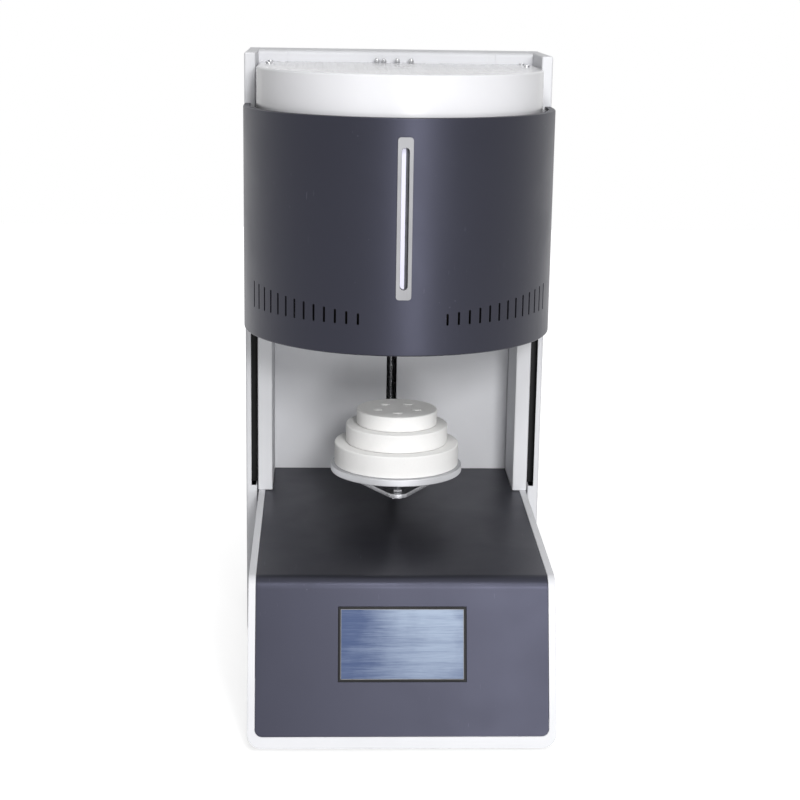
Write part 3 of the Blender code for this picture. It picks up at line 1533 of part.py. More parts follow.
def build():
    """Models every piece, from the floor up."""
    base_shell()
    front_panel()
    touch_screen()
    feet()
    side_covers()
    slot_liners()
    posts()
    back_panel()
    upper_back_panel()
    rear_cover()
    head_cover()
    cover_trim()
    head_cap()
    head_bottom_plate()
    head_frame()
    chamber()
    heating_elements()
    thermocouple()
    support_plate()
    level_studs()
    stage_disc()
    plug()
    lift_arm()
    carriage()
    bearing_blocks()
    guide_rods()
    lead_screw()
    motor_coupling()
    lift_motor()
    lift_plate()
    transformer()
    power_controller()
    control_board()
    fan()
    power_inlet()
    power_switch()


build()
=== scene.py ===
"""Looks of the bottom-loading sintering furnace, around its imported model.

The file is laid out as an add-on and run as a script. Lengths are metres, in the model's own frame.
"""

import json
import math
from contextlib import contextmanager

import bmesh
import bpy
from bpy.props import BoolProperty, FloatProperty, FloatVectorProperty, IntProperty, PointerProperty
from mathutils import Matrix, Vector


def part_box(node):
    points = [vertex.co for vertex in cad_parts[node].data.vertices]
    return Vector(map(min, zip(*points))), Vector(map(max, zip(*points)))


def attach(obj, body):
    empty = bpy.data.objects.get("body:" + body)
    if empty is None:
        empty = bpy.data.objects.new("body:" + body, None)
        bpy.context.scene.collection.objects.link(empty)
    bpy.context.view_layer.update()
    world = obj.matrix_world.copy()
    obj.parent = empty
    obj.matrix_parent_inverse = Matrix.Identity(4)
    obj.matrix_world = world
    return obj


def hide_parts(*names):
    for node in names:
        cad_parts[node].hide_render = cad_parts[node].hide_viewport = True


bl_info = {
    "name": "Sintering furnace finish",
    "version": (1, 0, 0),
    "blender": (4, 5, 0),
    "location": "3D View > Sidebar > Furnace",
    "description": "Models the visible pieces, finishes and studio of a bottom-loading sintering furnace",
    "category": "Object",
}

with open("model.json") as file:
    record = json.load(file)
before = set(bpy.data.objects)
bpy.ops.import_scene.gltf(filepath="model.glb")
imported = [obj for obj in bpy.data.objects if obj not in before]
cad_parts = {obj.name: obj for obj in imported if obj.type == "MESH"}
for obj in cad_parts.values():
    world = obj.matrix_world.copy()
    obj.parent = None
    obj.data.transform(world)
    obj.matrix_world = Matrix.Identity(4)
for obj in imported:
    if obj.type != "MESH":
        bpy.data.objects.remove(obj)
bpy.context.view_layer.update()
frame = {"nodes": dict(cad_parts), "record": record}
SLOTS = {row["node"]: row["material_slot"] for row in frame["record"]["subparts"]}
BODIES = {
    node: body
    for body, nodes in frame["record"]["behaviour"]["bodies"].items()
    for node in nodes
}

MILLIMETRE = 0.001
QUARTER_TURN = math.pi / 2
HALF_TURN = math.pi
FULL_TURN = 2 * math.pi
UP = Vector((0, 0, 1))
FORWARD = Vector((0, -1, 0))
Y_AXIS = 1
Z_AXIS = 2

# Corners nearer to each other than this are one corner
MERGE = 0.00001
# Faces that meet at less than this are one flat face
FLAT_LIMIT = math.radians(0.5)
# Bent sheet is rounded only where it turns by more than this
SHARP_LIMIT = math.radians(60)
# How far a cutting shape reaches past the sheet that it cuts
CUT_REACH = 0.01

IMAGE_WIDTH = 800
SENSOR_WIDTH = 36
SIDES = (("left", -1), ("right", 1))


def length(name, description, default):
    """A length property in metres."""
    return FloatProperty(
        name=name, description=description, default=default, min=0, precision=5, unit="LENGTH"
    )


def colour(name, description, default):
    """A linear colour property."""
    return FloatVectorProperty(
        name=name, description=description, default=default, min=0, max=1, size=3, subtype="COLOR"
    )


def angle(name, description, degrees):
    """An angle property, with its default given in degrees."""
    return FloatProperty(
        name=name, description=description, default=math.radians(degrees), precision=4, unit="ROTATION"
    )


def camera_turn(name, description, default):
    """A turn of the camera, in radians."""
    return FloatProperty(name=name, description=description, default=default, unit="ROTATION")


def power(name, description, default):
    """A lamp's power in watts."""
    return FloatProperty(name=name, description=description, default=default, unit="POWER")


class FurnaceSizes(bpy.types.PropertyGroup):
    """Sizes of the visible pieces."""

    gap: length("Gap", "Clearance between neighbouring pieces", 0.0003)
    sheet: length("Sheet", "Thickness of the case's sheet steel", 0.002)
    face_height: length("Face height", "Height of the leaning face above the rim's foot", 0.2015)
    face_lean: length("Face lean", "How far the face leans back over its height", 0.070)
    deck_rise: length("Deck rise", "Rise of the deck from the face to the column", 0.0137)
    bend_radius: length("Bend radius", "Outer radius of the bend between face and deck", 0.020)
    bend_steps: IntProperty(name="Bend steps", description="Facets round the bend", default=28, min=4)
    panel_set_back: length("Panel set back", "How far the dark panel lies behind the rim", 0.0004)
    panel_corner: length("Panel corner", "Radius of the dark panel's lower corners", 0.0092)
    screen_width: length("Screen width", "Width of the screen's opening", 0.1625)
    screen_height: length("Screen height", "Height of the screen's opening", 0.0945)
    screen_rise: length("Screen rise", "Screen's middle above the foot, along the face", 0.130)
    gasket_width: length("Gasket width", "Width of the black gasket round the screen", 0.0029)
    gasket_depth: length("Gasket depth", "Depth of the gasket in the panel", 0.0045)
    bezel_width: length("Bezel width", "Width of the silver line inside the gasket", 0.0006)
    glass_recess: length("Glass recess", "How far the glass lies behind the gasket", 0.0012)
    glass_thickness: length("Glass thickness", "Thickness of the touch glass", 0.003)
    cover_lip: length("Cover lip", "Depth of the head cover's turned-in edges", 0.009)
    cover_edge: length("Cover edge", "Outer radius of the head cover's turned edges", 0.002)
    vent_count: IntProperty(
        name="Vents", description="Vents on each side of the head cover", default=13, min=1
    )
    vent_rise: length("Vent rise", "Vents' lower ends above the cover's lower edge", 0.040)
    vent_short: length("Short vent", "Length of the vent nearest the front", 0.0152)
    vent_long: length("Long vent", "Length of the vent nearest the back", 0.036)
    vent_start: angle("Vent start", "Angle from the front to the first vent's middle", 15.75)
    vent_pitch: angle("Vent pitch", "Angle between neighbouring vents", 4.24)
    vent_steps: IntProperty(name="Vent steps", description="Facets in one vent pitch", default=5, min=2)
    vent_end: length("Vent end", "Rounding of the vents' ends", 0.0011)
    cap_edge: length("Cap edge", "Radius round the cap's top", 0.003)
    cap_slot_length: length("Cap slot length", "Length of a slot in the cap's top", 0.020)
    cap_slot_width: length("Cap slot width", "Width of a slot in the cap's top", 0.0045)
    cap_slot_pitch: length("Cap slot pitch", "Distance between slots in a row", 0.027)
    cap_row_pitch: length("Cap row pitch", "Distance between the rows of slots", 0.016)
    cap_margin: length("Cap margin", "Plain edge round the slots in the cap's top", 0.018)
    trim_thickness: length("Trim thickness", "Thickness of the silver trim", 0.002)
    trim_chamfer: length("Trim chamfer", "Cut corners of the silver trim", 0.004)
    trim_slot_width: length("Trim slot width", "Width of the slot in the trim", 0.010)
    trim_slot_height: length("Trim slot height", "Height of the slot in the trim", 0.181)
    sleeve_wall: length("Sleeve wall", "Wall of the sleeve behind the trim's slot", 0.001)
    tier_edge: length("Tier edge", "Radius of the plug tiers' rims", 0.002)
    disc_edge: length("Disc edge", "Radius of the stage disc's rims", 0.0012)
    pip_circle: length("Pip circle", "Radius of the circle that the pips stand on", 0.028)
    pip_radius: length("Pip radius", "Radius of a seat pip", 0.0068)
    pip_height: length("Pip height", "Height of a seat pip", 0.0016)
    stud_radius: length("Stud radius", "Radius of a levelling stud", 0.004)
    nut_height: length("Nut height", "Height of a nut on a levelling stud", 0.003)
    screw_head: length("Screw head", "Radius of the case screws' heads", 0.0038)
    screw_height: length("Screw height", "Height of the case screws' heads", 0.0022)
    cap_nut: length("Cap nut", "Radius of the domed nuts on the cap, over their corners", 0.0042)
    lead: length("Lead", "Travel of the nut in one turn of the lead screw", 0.010)
    thread_starts: IntProperty(
        name="Thread starts", description="Threads side by side on the screw", default=4, min=1
    )
    journal_radius: length("Journal radius", "Radius of the lead screw's ends", 0.004)
    shoulder_inset: length("Shoulder inset", "Length of the lead screw's upper journal", 0.0163)
    shoulder_rise: length("Shoulder rise", "Length of the lead screw's lower journal", 0.0352)
    seam_width: length("Seam width", "Width of the seams in the wall behind the cap", 0.0014)
    smooth_limit: angle("Smooth limit", "Steepest angle that is shaded smooth", 36)
    edges: BoolProperty(name="Rounded edges", description="Give the pieces rounded edges", default=True)


class FurnaceColours(bpy.types.PropertyGroup):
    """Colours of the finishes, linear."""

    white: colour("White coat", "Powder coat of the case", (0.71, 0.715, 0.74))
    gloss: colour("Gloss white", "Lacquer of the cap", (0.74, 0.74, 0.765))
    charcoal: colour("Charcoal coat", "Powder coat of the head and desk", (0.008, 0.008, 0.010))
    charcoal_worn: colour("Charcoal rubbed", "Powder coat where hands rub it", (0.045, 0.046, 0.060))
    rubber: colour("Rubber", "Feet and gasket", (0.010, 0.010, 0.011))
    plastic: colour("Black plastic", "Moulded plastic parts", (0.013, 0.013, 0.014))
    glass_dark: colour("Glass, shaded side", "Screen where it reflects little", (0.060, 0.090, 0.190))
    glass_light: colour("Glass, bright side", "Screen where it reflects most", (0.330, 0.400, 0.520))
    steel: colour("Bright steel", "Machined steel", (0.52, 0.525, 0.54))
    disc: colour("Stage disc", "Faced and turned steel of the stage's disc", (0.56, 0.565, 0.585))
    anodised: colour("Anodised trim", "Matt anodised aluminium", (0.27, 0.27, 0.28))
    # Painted shade: dark steel inside the head, so that the vents look black
    shade_steel: colour("Tinted steel", "Steel darkened by heat", (0.050, 0.045, 0.040))
    strip: colour("Strip diffuser", "Diffuser of the light strip", (0.66, 0.65, 0.78))
    aluminium: colour("Aluminium", "Satin aluminium", (0.50, 0.50, 0.51))
    sheet_steel: colour("Sheet steel", "Plain galvanised sheet", (0.42, 0.43, 0.44))
    fibre: colour("Ceramic fibre", "Insulation board and plug", (0.87, 0.865, 0.855))
    silicide: colour("Silicide", "Heating rods", (0.10, 0.10, 0.11))
    copper: colour("Copper winding", "Enamelled wire", (0.55, 0.20, 0.07))
    board: colour("Circuit board", "Solder mask", (0.02, 0.14, 0.06))
    # Painted shadow: the dark right part of the light strip stands for the shadow of the slot's right wall
    strip_shadow: colour("Smoked plastic", "Lens beside the strip's diffuser", (0.035, 0.036, 0.045))


class FurnaceStudio(bpy.types.PropertyGroup):
    """Camera and light."""

    camera_place: FloatVectorProperty(
        name="Camera place",
        description="Where the camera stands",
        default=(-0.0987, -2.2985, 0.9419),
        size=3,
        subtype="XYZ",
        unit="LENGTH",
    )
    camera_yaw: camera_turn("Yaw", "Camera's turn to the right", 0.045)
    camera_pitch: camera_turn("Pitch", "Camera's tilt down", 0.237)
    camera_roll: camera_turn("Roll", "Camera's roll", 0.016)
    focal_pixels: FloatProperty(name="Focal length", description="Focal length in pixels", default=1722.3)
    shift_pixels: FloatVectorProperty(
        name="Shift", description="Lens shift in pixels", default=(-1.0, 0.1), size=2
    )
    ambient: FloatProperty(name="Ambient", description="Strength of the even light all round", default=0.22)
    front_power: power("Front light", "Power of the front softbox", 30)
    key_power: power("Key light", "Power of the upper front light", 18)
    low_power: power("Low light", "Power of the low front light", 13)
    top_power: power("Top light", "Power of the light above", 2)
    floor_size: length("Floor size", "Side of the floor", 9.0)


def sizes():
    """The scene's sizes."""
    return bpy.context.scene.furnace_sizes


def colours():
    """The scene's colours."""
    return bpy.context.scene.furnace_colours


# Selecting and editing


def deselect():
    """Leaves edit mode and selects nothing."""
    if bpy.context.mode != "OBJECT":
        bpy.ops.object.mode_set(mode="OBJECT")
    bpy.ops.object.select_all(action="DESELECT")


def activate(piece):
    """Selects one piece alone."""
    deselect()
    piece.select_set(True)
    bpy.context.view_layer.objects.active = piece


@contextmanager
def editing(piece):
    """Edit mode on one piece, with all of it selected at the start."""
    activate(piece)
    bpy.ops.object.mode_set(mode="EDIT")
    bpy.ops.mesh.select_mode(type="VERT")
    bpy.ops.mesh.select_all(action="SELECT")
    yield
    bpy.ops.object.mode_set(mode="OBJECT")


def middle(item):
    """The middle of a vertex, edge or face."""
    if isinstance(item, bmesh.types.BMVert):
        return item.co.copy()
    if isinstance(item, bmesh.types.BMEdge):
        return (item.verts[0].co + item.verts[1].co) / 2
    return item.calc_center_median()


def pick(piece, kind, test):
    """Selects, in edit mode, the vertices, edges or faces that pass a test."""
    bpy.ops.mesh.select_mode(type=kind)
    bpy.ops.mesh.select_all(action="DESELECT")
    mesh = bmesh.from_edit_mesh(piece.data)
    items = {"VERT": mesh.verts, "EDGE": mesh.edges, "FACE": mesh.faces}[kind]
    found = 0
    for item in items:
        if test(item):
            item.select_set(True)
            found += 1
    bmesh.update_edit_mesh(piece.data)
    return found


def running(axis):
    """A test for the edges that run along an axis."""
    return lambda edge: abs(edge.verts[0].co[axis] - edge.verts[1].co[axis]) > MERGE


def settle(piece):
    """Puts the place, turn and scale of a piece into its mesh."""
    activate(piece)
    bpy.ops.object.transform_apply(location=True, rotation=True, scale=True)
    return piece


def modify(piece, kind, **settings):
    """Adds a modifier and applies it."""
    activate(piece)
    step = piece.modifiers.new(kind.lower(), kind)
    for key, value in settings.items():
        setattr(step, key, value)
    bpy.ops.object.modifier_apply(modifier=step.name)


def round_edges(piece, width, segments=2, limit=None):
    """Rounds every sharp edge of a piece."""
    if not sizes().edges or width <= 0:
        return
    limit = sizes().smooth_limit if limit is None else limit
    modify(piece, "BEVEL", width=width, segments=segments, limit_method="ANGLE", angle_limit=limit)


def smooth(piece):
    """Smooth shading with sharp corners kept and flat faces flat."""
    activate(piece)
    bpy.ops.object.shade_smooth_by_angle(angle=sizes().smooth_limit)
    modify(piece, "WEIGHTED_NORMAL", keep_sharp=True)


def outwards(piece):
    """Merges the doubles of a closed shape and points its faces outwards."""
    with editing(piece):
        bpy.ops.mesh.remove_doubles(threshold=MERGE)
        bpy.ops.mesh.normals_make_consistent(inside=False)


def turn_out(piece, way):
    """Flips a shape's faces where the face that lies farthest that way looks inwards."""
    farthest = max(piece.data.polygons, key=lambda face: face.center.dot(way))
    if farthest.normal.dot(way) < 0:
        with editing(piece):
            bpy.ops.mesh.flip_normals()


def joined(first, *others):
    """Joins pieces into the first."""
    activate(first)
    for other in others:
        other.select_set(True)
    bpy.ops.object.join()
    return first


def copied(piece, name, shift):
    """A copy of a piece with its own mesh, moved by a shift."""
    activate(piece)
    bpy.ops.object.duplicate(linked=False)
    copy = bpy.context.active_object
    copy.name = name
    copy.location = shift
    return settle(copy)


def take_away(piece, cutter):
    """Cuts one shape out of a piece."""
    modify(piece, "BOOLEAN", operation="DIFFERENCE", solver="EXACT", object=cutter)
    bpy.data.objects.remove(cutter, do_unlink=True)


# Starting shapes


def box(name, low, high):
    """A box between two corners."""
    deselect()
    low = Vector(low)
    high = Vector(high)
    bpy.ops.mesh.primitive_cube_add(size=1, location=(low + high) / 2, scale=high - low)
    piece = bpy.context.active_object
    piece.name = name
    return settle(piece)


def drawn(name, points, closed=False):
    """A line through points, drawn by extruding one corner."""
    deselect()
    points = [Vector(point) for point in points]
    bpy.ops.mesh.primitive_plane_add(size=MILLIMETRE, location=points[0])
    piece = bpy.context.active_object
    piece.name = name
    with editing(piece):
        bpy.ops.mesh.merge(type="CENTER")
        for start, end in zip(points, points[1:]):
            bpy.ops.mesh.extrude_vertices_move(TRANSFORM_OT_translate={"value": end - start})
        if closed:
            bpy.ops.mesh.extrude_vertices_move(TRANSFORM_OT_translate={"value": points[0] - points[-1]})
            bpy.ops.mesh.select_all(action="SELECT")
            bpy.ops.mesh.remove_doubles(threshold=MERGE)
    return settle(piece)


def axis_of(low, high):
    """Where the upright axis through the middle of a box stands, as x and y."""
    return (low.x + high.x) / 2, (low.y + high.y) / 2


def arc(centre, radius, start, end, steps):
    """Points on an arc in a plane, as pairs."""
    turns = [start + (end - start) * step / steps for step in range(steps + 1)]
    return [(centre[0] + radius * math.cos(turn), centre[1] + radius * math.sin(turn)) for turn in turns]


def rim_points(radius, low, high, edge, steps=4):
    """A turned disc's profile from its lower to its upper middle, with rounded rims."""
    lower = arc((radius - edge, low + edge), edge, -QUARTER_TURN, 0, steps)
    upper = arc((radius - edge, high - edge), edge, 0, QUARTER_TURN, steps)
    return [(0, low), *lower, *upper, (0, high)]


def turned(name, profile, centre, steps=96):
    """A turned shape from a (radius, height) profile about an upright axis."""
    x, y = centre
    piece = drawn(name, [(x + radius, y, height) for radius, height in profile])
    with editing(piece):
        bpy.ops.mesh.spin(steps=steps, angle=FULL_TURN, center=(x, y, 0), axis=(0, 0, 1))
    outwards(piece)
    return piece


def hexagon(spot, radius, height):
    """A hexagon nut with rounded edges about its middle."""
    deselect()
    bpy.ops.mesh.primitive_cylinder_add(vertices=6, radius=radius, depth=height, location=spot)
    nut = settle(bpy.context.active_object)
    round_edges(nut, height / 10)
    return nut


def copy_of(node):
    """A merged copy of a node of the model, with its flat faces made whole."""
    source = frame["nodes"][node]
    piece = bpy.data.objects.new(f"{node}_rounded", source.data.copy())
    bpy.context.collection.objects.link(piece)
    piece.data.materials.clear()
    activate(piece)
    bpy.ops.mesh.customdata_custom_splitnormals_clear()
    with editing(piece):
        bpy.ops.mesh.remove_doubles(threshold=MERGE)
        bpy.ops.mesh.dissolve_limited(angle_limit=FLAT_LIMIT)
    return piece


# Node trees


def add_node(tree, kind, inputs=(), **settings):
    """Adds a node. Its inputs are values, or sockets to link from."""
    node = tree.nodes.new(kind)
    for key, value in settings.items():
        setattr(node, key, value)
    for key, value in dict(inputs).items():
        if isinstance(value, bpy.types.NodeSocket):
            tree.links.new(value, node.inputs[key])
        else:
            node.inputs[key].default_value = value
    return node


def new_group(name, inputs, outputs):
    """A shader node group with its inputs and outputs, and the nodes for both ends."""
    tree = bpy.data.node_groups.new(name, "ShaderNodeTree")
    for socket, kind, value in inputs:
        made = tree.interface.new_socket(name=socket, in_out="INPUT", socket_type=kind)
        if value is not None:
            made.default_value = value
    for socket, kind in outputs:
        tree.interface.new_socket(name=socket, in_out="OUTPUT", socket_type=kind)
    return tree, tree.nodes.new("NodeGroupInput").outputs, tree.nodes.new("NodeGroupOutput").inputs


def map_range(tree, value, start, end, low, high):
    """A value taken from one range to another."""
    inputs = {"Value": value, "From Min": start, "From Max": end, "To Min": low, "To Max": high}
    return add_node(tree, "ShaderNodeMapRange", inputs).outputs["Result"]


def maths(tree, operation, first, second=0.0):
    """One sum."""
    return add_node(tree, "ShaderNodeMath", {0: first, 1: second}, operation=operation).outputs[0]


def mix_colours(tree, factor, first, second):
    """Two colours mixed."""
    inputs = {0: factor, 6: first, 7: second}
    return add_node(tree, "ShaderNodeMix", inputs, data_type="RGBA").outputs[2]


def noise(tree, vector, scale, detail=4.0, roughness=0.5, distortion=0.0):
    """Noise about a vector."""
    inputs = {"Vector": vector, "Scale": scale, "Detail": detail, "Roughness": roughness}
    inputs["Distortion"] = distortion
    return add_node(tree, "ShaderNodeTexNoise", inputs).outputs[0]


def scaled(tree, vector, scale):
    """A vector scaled on each axis."""
    return add_node(tree, "ShaderNodeVectorMath", {0: vector, 1: scale}, operation="MULTIPLY").outputs[0]


VECTOR = "NodeSocketVector"
FLOAT = "NodeSocketFloat"


def grain_group():
    """Fine grain of paint, plastic or board, as a height and a mask of its deepest pores."""
    inputs = [("Vector", VECTOR, None), ("Scale", FLOAT, 1000.0), ("Coarse Scale", FLOAT, 200.0)]
    inputs.append(("Coarse Share", FLOAT, 0.3))
    tree, given, made = new_group("surface_grain", inputs, [("Height", FLOAT), ("Pores", FLOAT)])
    fine = noise(tree, given["Vector"], given["Scale"], 3.0, 0.6)
    coarse = noise(tree, given["Vector"], given["Coarse Scale"], 4.0, 0.55)
    weighted = maths(tree, "MULTIPLY", coarse, given["Coarse Share"])
    tree.links.new(maths(tree, "ADD", fine, weighted), made["Height"])
    tree.links.new(map_range(tree, fine, 0.62, 0.75, 0.0, 1.0), made["Pores"])
    return tree


def cloud_group():
    """Slow, soft variation, for tone and gloss that change over a surface."""
    inputs = [("Vector", VECTOR, None), ("Scale", FLOAT, 6.0), ("Low", FLOAT, 0.0), ("High", FLOAT, 1.0)]
    tree, given, made = new_group("soft_clouds", inputs, [("Value", FLOAT)])
    clouds = noise(tree, given["Vector"], given["Scale"], 5.0, 0.55, 0.4)
    tree.links.new(map_range(tree, clouds, 0.3, 0.7, given["Low"], given["High"]), made["Value"])
    return tree


def lines_group():
    """Brushed or turned lines, from a vector that is stretched along them."""
    outputs = [("Value", FLOAT), ("Height", FLOAT)]
    tree, given, made = new_group("brushed_lines", [("Vector", VECTOR, None)], outputs)
    fine = noise(tree, given["Vector"], 1.0, 6.0, 0.65)
    broad = noise(tree, given["Vector"], 0.13, 3.0, 0.5)
    both = maths(tree, "ADD", maths(tree, "MULTIPLY", fine, 0.6), maths(tree, "MULTIPLY", broad, 0.4))
    tree.links.new(map_range(tree, both, 0.35, 0.65, 0.0, 1.0), made["Value"])
    tree.links.new(fine, made["Height"])
    return tree


def marks_group():
    """Sparse small specks and short scratches of handling."""
    inputs = [("Vector", VECTOR, None), ("Speck Scale", FLOAT, 90.0), ("Amount", FLOAT, 0.5)]
    tree, given, made = new_group("handling_marks", inputs, [("Mask", FLOAT)])
    cells = {"Vector": given["Vector"], "Scale": given["Speck Scale"]}
    specks = add_node(tree, "ShaderNodeTexVoronoi", cells).outputs["Distance"]
    speck = map_range(tree, specks, 0.10, 0.04, 0.0, 1.0)
    rare = map_range(tree, noise(tree, given["Vector"], 21.0, 2.0), 0.60, 0.66, 0.0, 1.0)
    long_way = scaled(tree, given["Vector"], (300.0, 18.0, 40.0))
    scratch = map_range(tree, noise(tree, long_way, 1.0, 2.0), 0.71, 0.74, 0.0, 1.0)
    where = map_range(tree, noise(tree, given["Vector"], 9.0, 2.0), 0.52, 0.62, 0.0, 1.0)
    rare_specks = maths(tree, "MULTIPLY", speck, rare)
    both = maths(tree, "MAXIMUM", rare_specks, maths(tree, "MULTIPLY", scratch, where))
    tree.links.new(maths(tree, "MULTIPLY", both, given["Amount"]), made["Mask"])
    return tree


GROUP_MAKERS = {"grain": grain_group, "clouds": cloud_group, "lines": lines_group, "marks": marks_group}
made_groups = {}
made_materials = {}


def use_group(tree, name, inputs):
    """Places a shared node group in a material, with the material's own values."""
    if name not in made_groups:
        made_groups[name] = GROUP_MAKERS[name]()
    return add_node(tree, "ShaderNodeGroup", inputs, node_tree=made_groups[name]).outputs


class Finish:
    """A material under way: its tree, its shader and its object coordinates."""

    def __init__(self, name, **constants):
        """Makes the material, and gives its shader the values that don't vary."""
        self.material = bpy.data.materials.new(name)
        self.material.use_nodes = True
        self.tree = self.material.node_tree
        self.shader = self.tree.nodes["Principled BSDF"]
        self.place = add_node(self.tree, "ShaderNodeTexCoord").outputs["Object"]
        for key, value in constants.items():
            self.shader.inputs[key.replace("_", " ")].default_value = value

    def link(self, value, socket):
        """Feeds one socket of the shader."""
        self.tree.links.new(value, self.shader.inputs[socket])

    def bump(self, height, distance, strength=1.0):
        """Gives the surface fine relief."""
        inputs = {"Height": height, "Distance": distance, "Strength": strength}
        node = add_node(self.tree, "ShaderNodeBump", inputs)
        self.link(node.outputs["Normal"], "Normal")

    def tone(self, value, dark, light):
        """Mixes the base colour between two colours."""
        self.link(mix_colours(self.tree, value, (*dark, 1), (*light, 1)), "Base Color")

    def clouds(self, scale, low, high):
        """Soft variation between two values."""
        inputs = {"Vector": self.place, "Scale": scale, "Low": low, "High": high}
        return use_group(self.tree, "clouds", inputs)[0]

    def grain(self, scale, coarse, share):
        """Fine grain at two scales."""
        inputs = {"Vector": self.place, "Scale": scale, "Coarse Scale": coarse, "Coarse Share": share}
        return use_group(self.tree, "grain", inputs)

    def lines(self, stretch):
        """Brushed lines, stretched by a scale on each axis."""
        return use_group(self.tree, "lines", {"Vector": scaled(self.tree, self.place, stretch)})

    def rings(self, centre, across):
        """Turned rings about an upright axis."""
        moved = add_node(self.tree, "ShaderNodeVectorMath", {0: self.place, 1: centre}, operation="SUBTRACT")
        parts = add_node(self.tree, "ShaderNodeSeparateXYZ", {0: moved.outputs[0]})
        flat = add_node(self.tree, "ShaderNodeCombineXYZ", {0: parts.outputs[0], 1: parts.outputs[1]})
        reach = add_node(self.tree, "ShaderNodeVectorMath", {0: flat.outputs[0]}, operation="LENGTH")
        far = maths(self.tree, "MULTIPLY", reach.outputs["Value"], across)
        up = maths(self.tree, "MULTIPLY", parts.outputs[2], across)
        vector = add_node(self.tree, "ShaderNodeCombineXYZ", {0: far, 1: up})
        return use_group(self.tree, "lines", {"Vector": vector.outputs[0]})

    def marks(self, scale, amount):
        """Specks and scratches of handling."""
        inputs = {"Vector": self.place, "Speck Scale": scale, "Amount": amount}
        return use_group(self.tree, "marks", inputs)[0]


def shade(base, factor):
    """A colour made darker or lighter by a factor."""
    return tuple(min(channel * factor, 1.0) for channel in base)


def coat(name, base, rough, grain_scale, depth, worn=None, marks=0.0, **constants):
    """Powder coat: fine texture, soft changes of tone and gloss, and marks of handling."""
    finish = Finish(name, **constants)
    tone = mix_colours(
        finish.tree, finish.clouds(5.0, 0.0, 1.0), (*shade(base, 0.94), 1), (*shade(base, 1.04), 1)
    )
    grain = finish.grain(grain_scale, grain_scale / 5, 0.35)
    if worn is not None:
        tone = mix_colours(finish.tree, finish.marks(70.0, marks), tone, (*worn, 1))
    finish.link(tone, "Base Color")
    finish.link(finish.clouds(11.0, rough[0], rough[1]), "Roughness")
    finish.bump(grain["Height"], depth)
    return finish.material


def white_coat():
    """White powder coat of the case."""
    rubbed = shade(colours().white, 0.86)
    return coat("white_coat", colours().white, (0.50, 0.60), 900.0, 0.00002, rubbed, 0.35)


def charcoal_coat():
    """Charcoal powder coat of the head and the desk."""
    return coat(
        "charcoal_coat",
        colours().charcoal,
        (0.36, 0.44),
        1100.0,
        0.000012,
        colours().charcoal_worn,
        0.6,
        Specular_IOR_Level=0.55,
        Specular_Tint=(0.70, 0.72, 1.0, 1.0),
    )


def gloss_white():
    """White lacquer of the cap, with a faint orange peel."""
    return coat("gloss_white", colours().gloss, (0.20, 0.28), 260.0, 0.00003, Coat_Weight=0.25)


def rubber():
    """Black rubber."""
    return coat("rubber", colours().rubber, (0.72, 0.88), 1500.0, 0.00006, Specular_IOR_Level=0.35)


def black_plastic():
    """Black moulded plastic with a spark-eroded grain."""
    return coat("black_plastic", colours().plastic, (0.42, 0.55), 1300.0, 0.00004, Specular_IOR_Level=0.15)


def strip_white():
    """Pale diffuser of the light strip."""
    return coat("strip_white", colours().strip, (0.35, 0.45), 1200.0, 0.00001)


def smoked_plastic():
    """Dark finish of the light strip's right part: painted shadow that the slot's right wall casts on the
    diffuser.
    """
    finish = Finish("smoked_plastic", Roughness=0.45, Specular_IOR_Level=0.3)
    finish.tone(finish.clouds(60.0, 0.0, 1.0), colours().strip_shadow, shade(colours().strip_shadow, 1.8))
    finish.bump(finish.grain(600.0, 120.0, 0.4)["Height"], 0.00001)
    return finish.material


def screen_glass():
    """Touch glass of a dark screen, with a painted reflection that brightens it to the right of its middle
    and upwards, and streaks that are partly smears and partly painted reflection.
    """
    finish = Finish("screen_glass", Specular_IOR_Level=0.15)
    tree = finish.tree
    streaks = finish.lines((26.0, 900.0, 900.0))
    fine = finish.lines((60.0, 2600.0, 2600.0))
    parts = add_node(tree, "ShaderNodeSeparateXYZ", {0: finish.place})
    # Painted reflection: the glass is lighter to the right of its middle and towards its top
    wander = map_range(tree, noise(tree, finish.place, 14.0), 0.3, 0.7, -0.03, 0.03)
    bent = maths(tree, "ADD", parts.outputs[0], wander)
    left = map_range(tree, bent, -0.070, 0.030, 0.0, 1.0)
    right = map_range(tree, bent, 0.046, 0.082, 1.0, 0.45)
    across = maths(tree, "MULTIPLY", left, right)
    upward = map_range(tree, parts.outputs[2], 0.085, 0.170, 0.62, 1.0)
    glow = maths(tree, "MULTIPLY", across, upward)
    streaked = maths(tree, "ADD", maths(tree, "MULTIPLY", streaks["Value"], 0.46), -0.25)
    finely = maths(tree, "ADD", maths(tree, "MULTIPLY", fine["Value"], 0.26), -0.13)
    total = maths(tree, "ADD", maths(tree, "ADD", glow, streaked), finely)
    finish.tone(map_range(tree, total, 0.0, 1.05, 0.0, 1.0), colours().glass_dark, colours().glass_light)
    finish.link(map_range(tree, streaks["Value"], 0.0, 1.0, 0.22, 0.40), "Roughness")
    finish.bump(fine["Height"], 0.00001)
    return finish.material


def metal(name, base, stretch, rough, depth):
    """Brushed metal, with its lines stretched by a scale on each axis."""
    finish = Finish(name, Metallic=1.0)
    lines = finish.lines(stretch)
    finish.tone(lines["Value"], shade(base, 0.9), shade(base, 1.1))
    smudge = finish.clouds(18.0, -0.03, 0.05)
    lined = map_range(finish.tree, lines["Value"], 0.0, 1.0, rough[0], rough[1])
    finish.link(maths(finish.tree, "ADD", lined, smudge), "Roughness")
    finish.bump(lines["Height"], depth)
    return finish.material


def bright_steel():
    """Ground and machined steel."""
    return metal("bright_steel", colours().steel, (900.0, 60.0, 900.0), (0.22, 0.36), 0.000006)


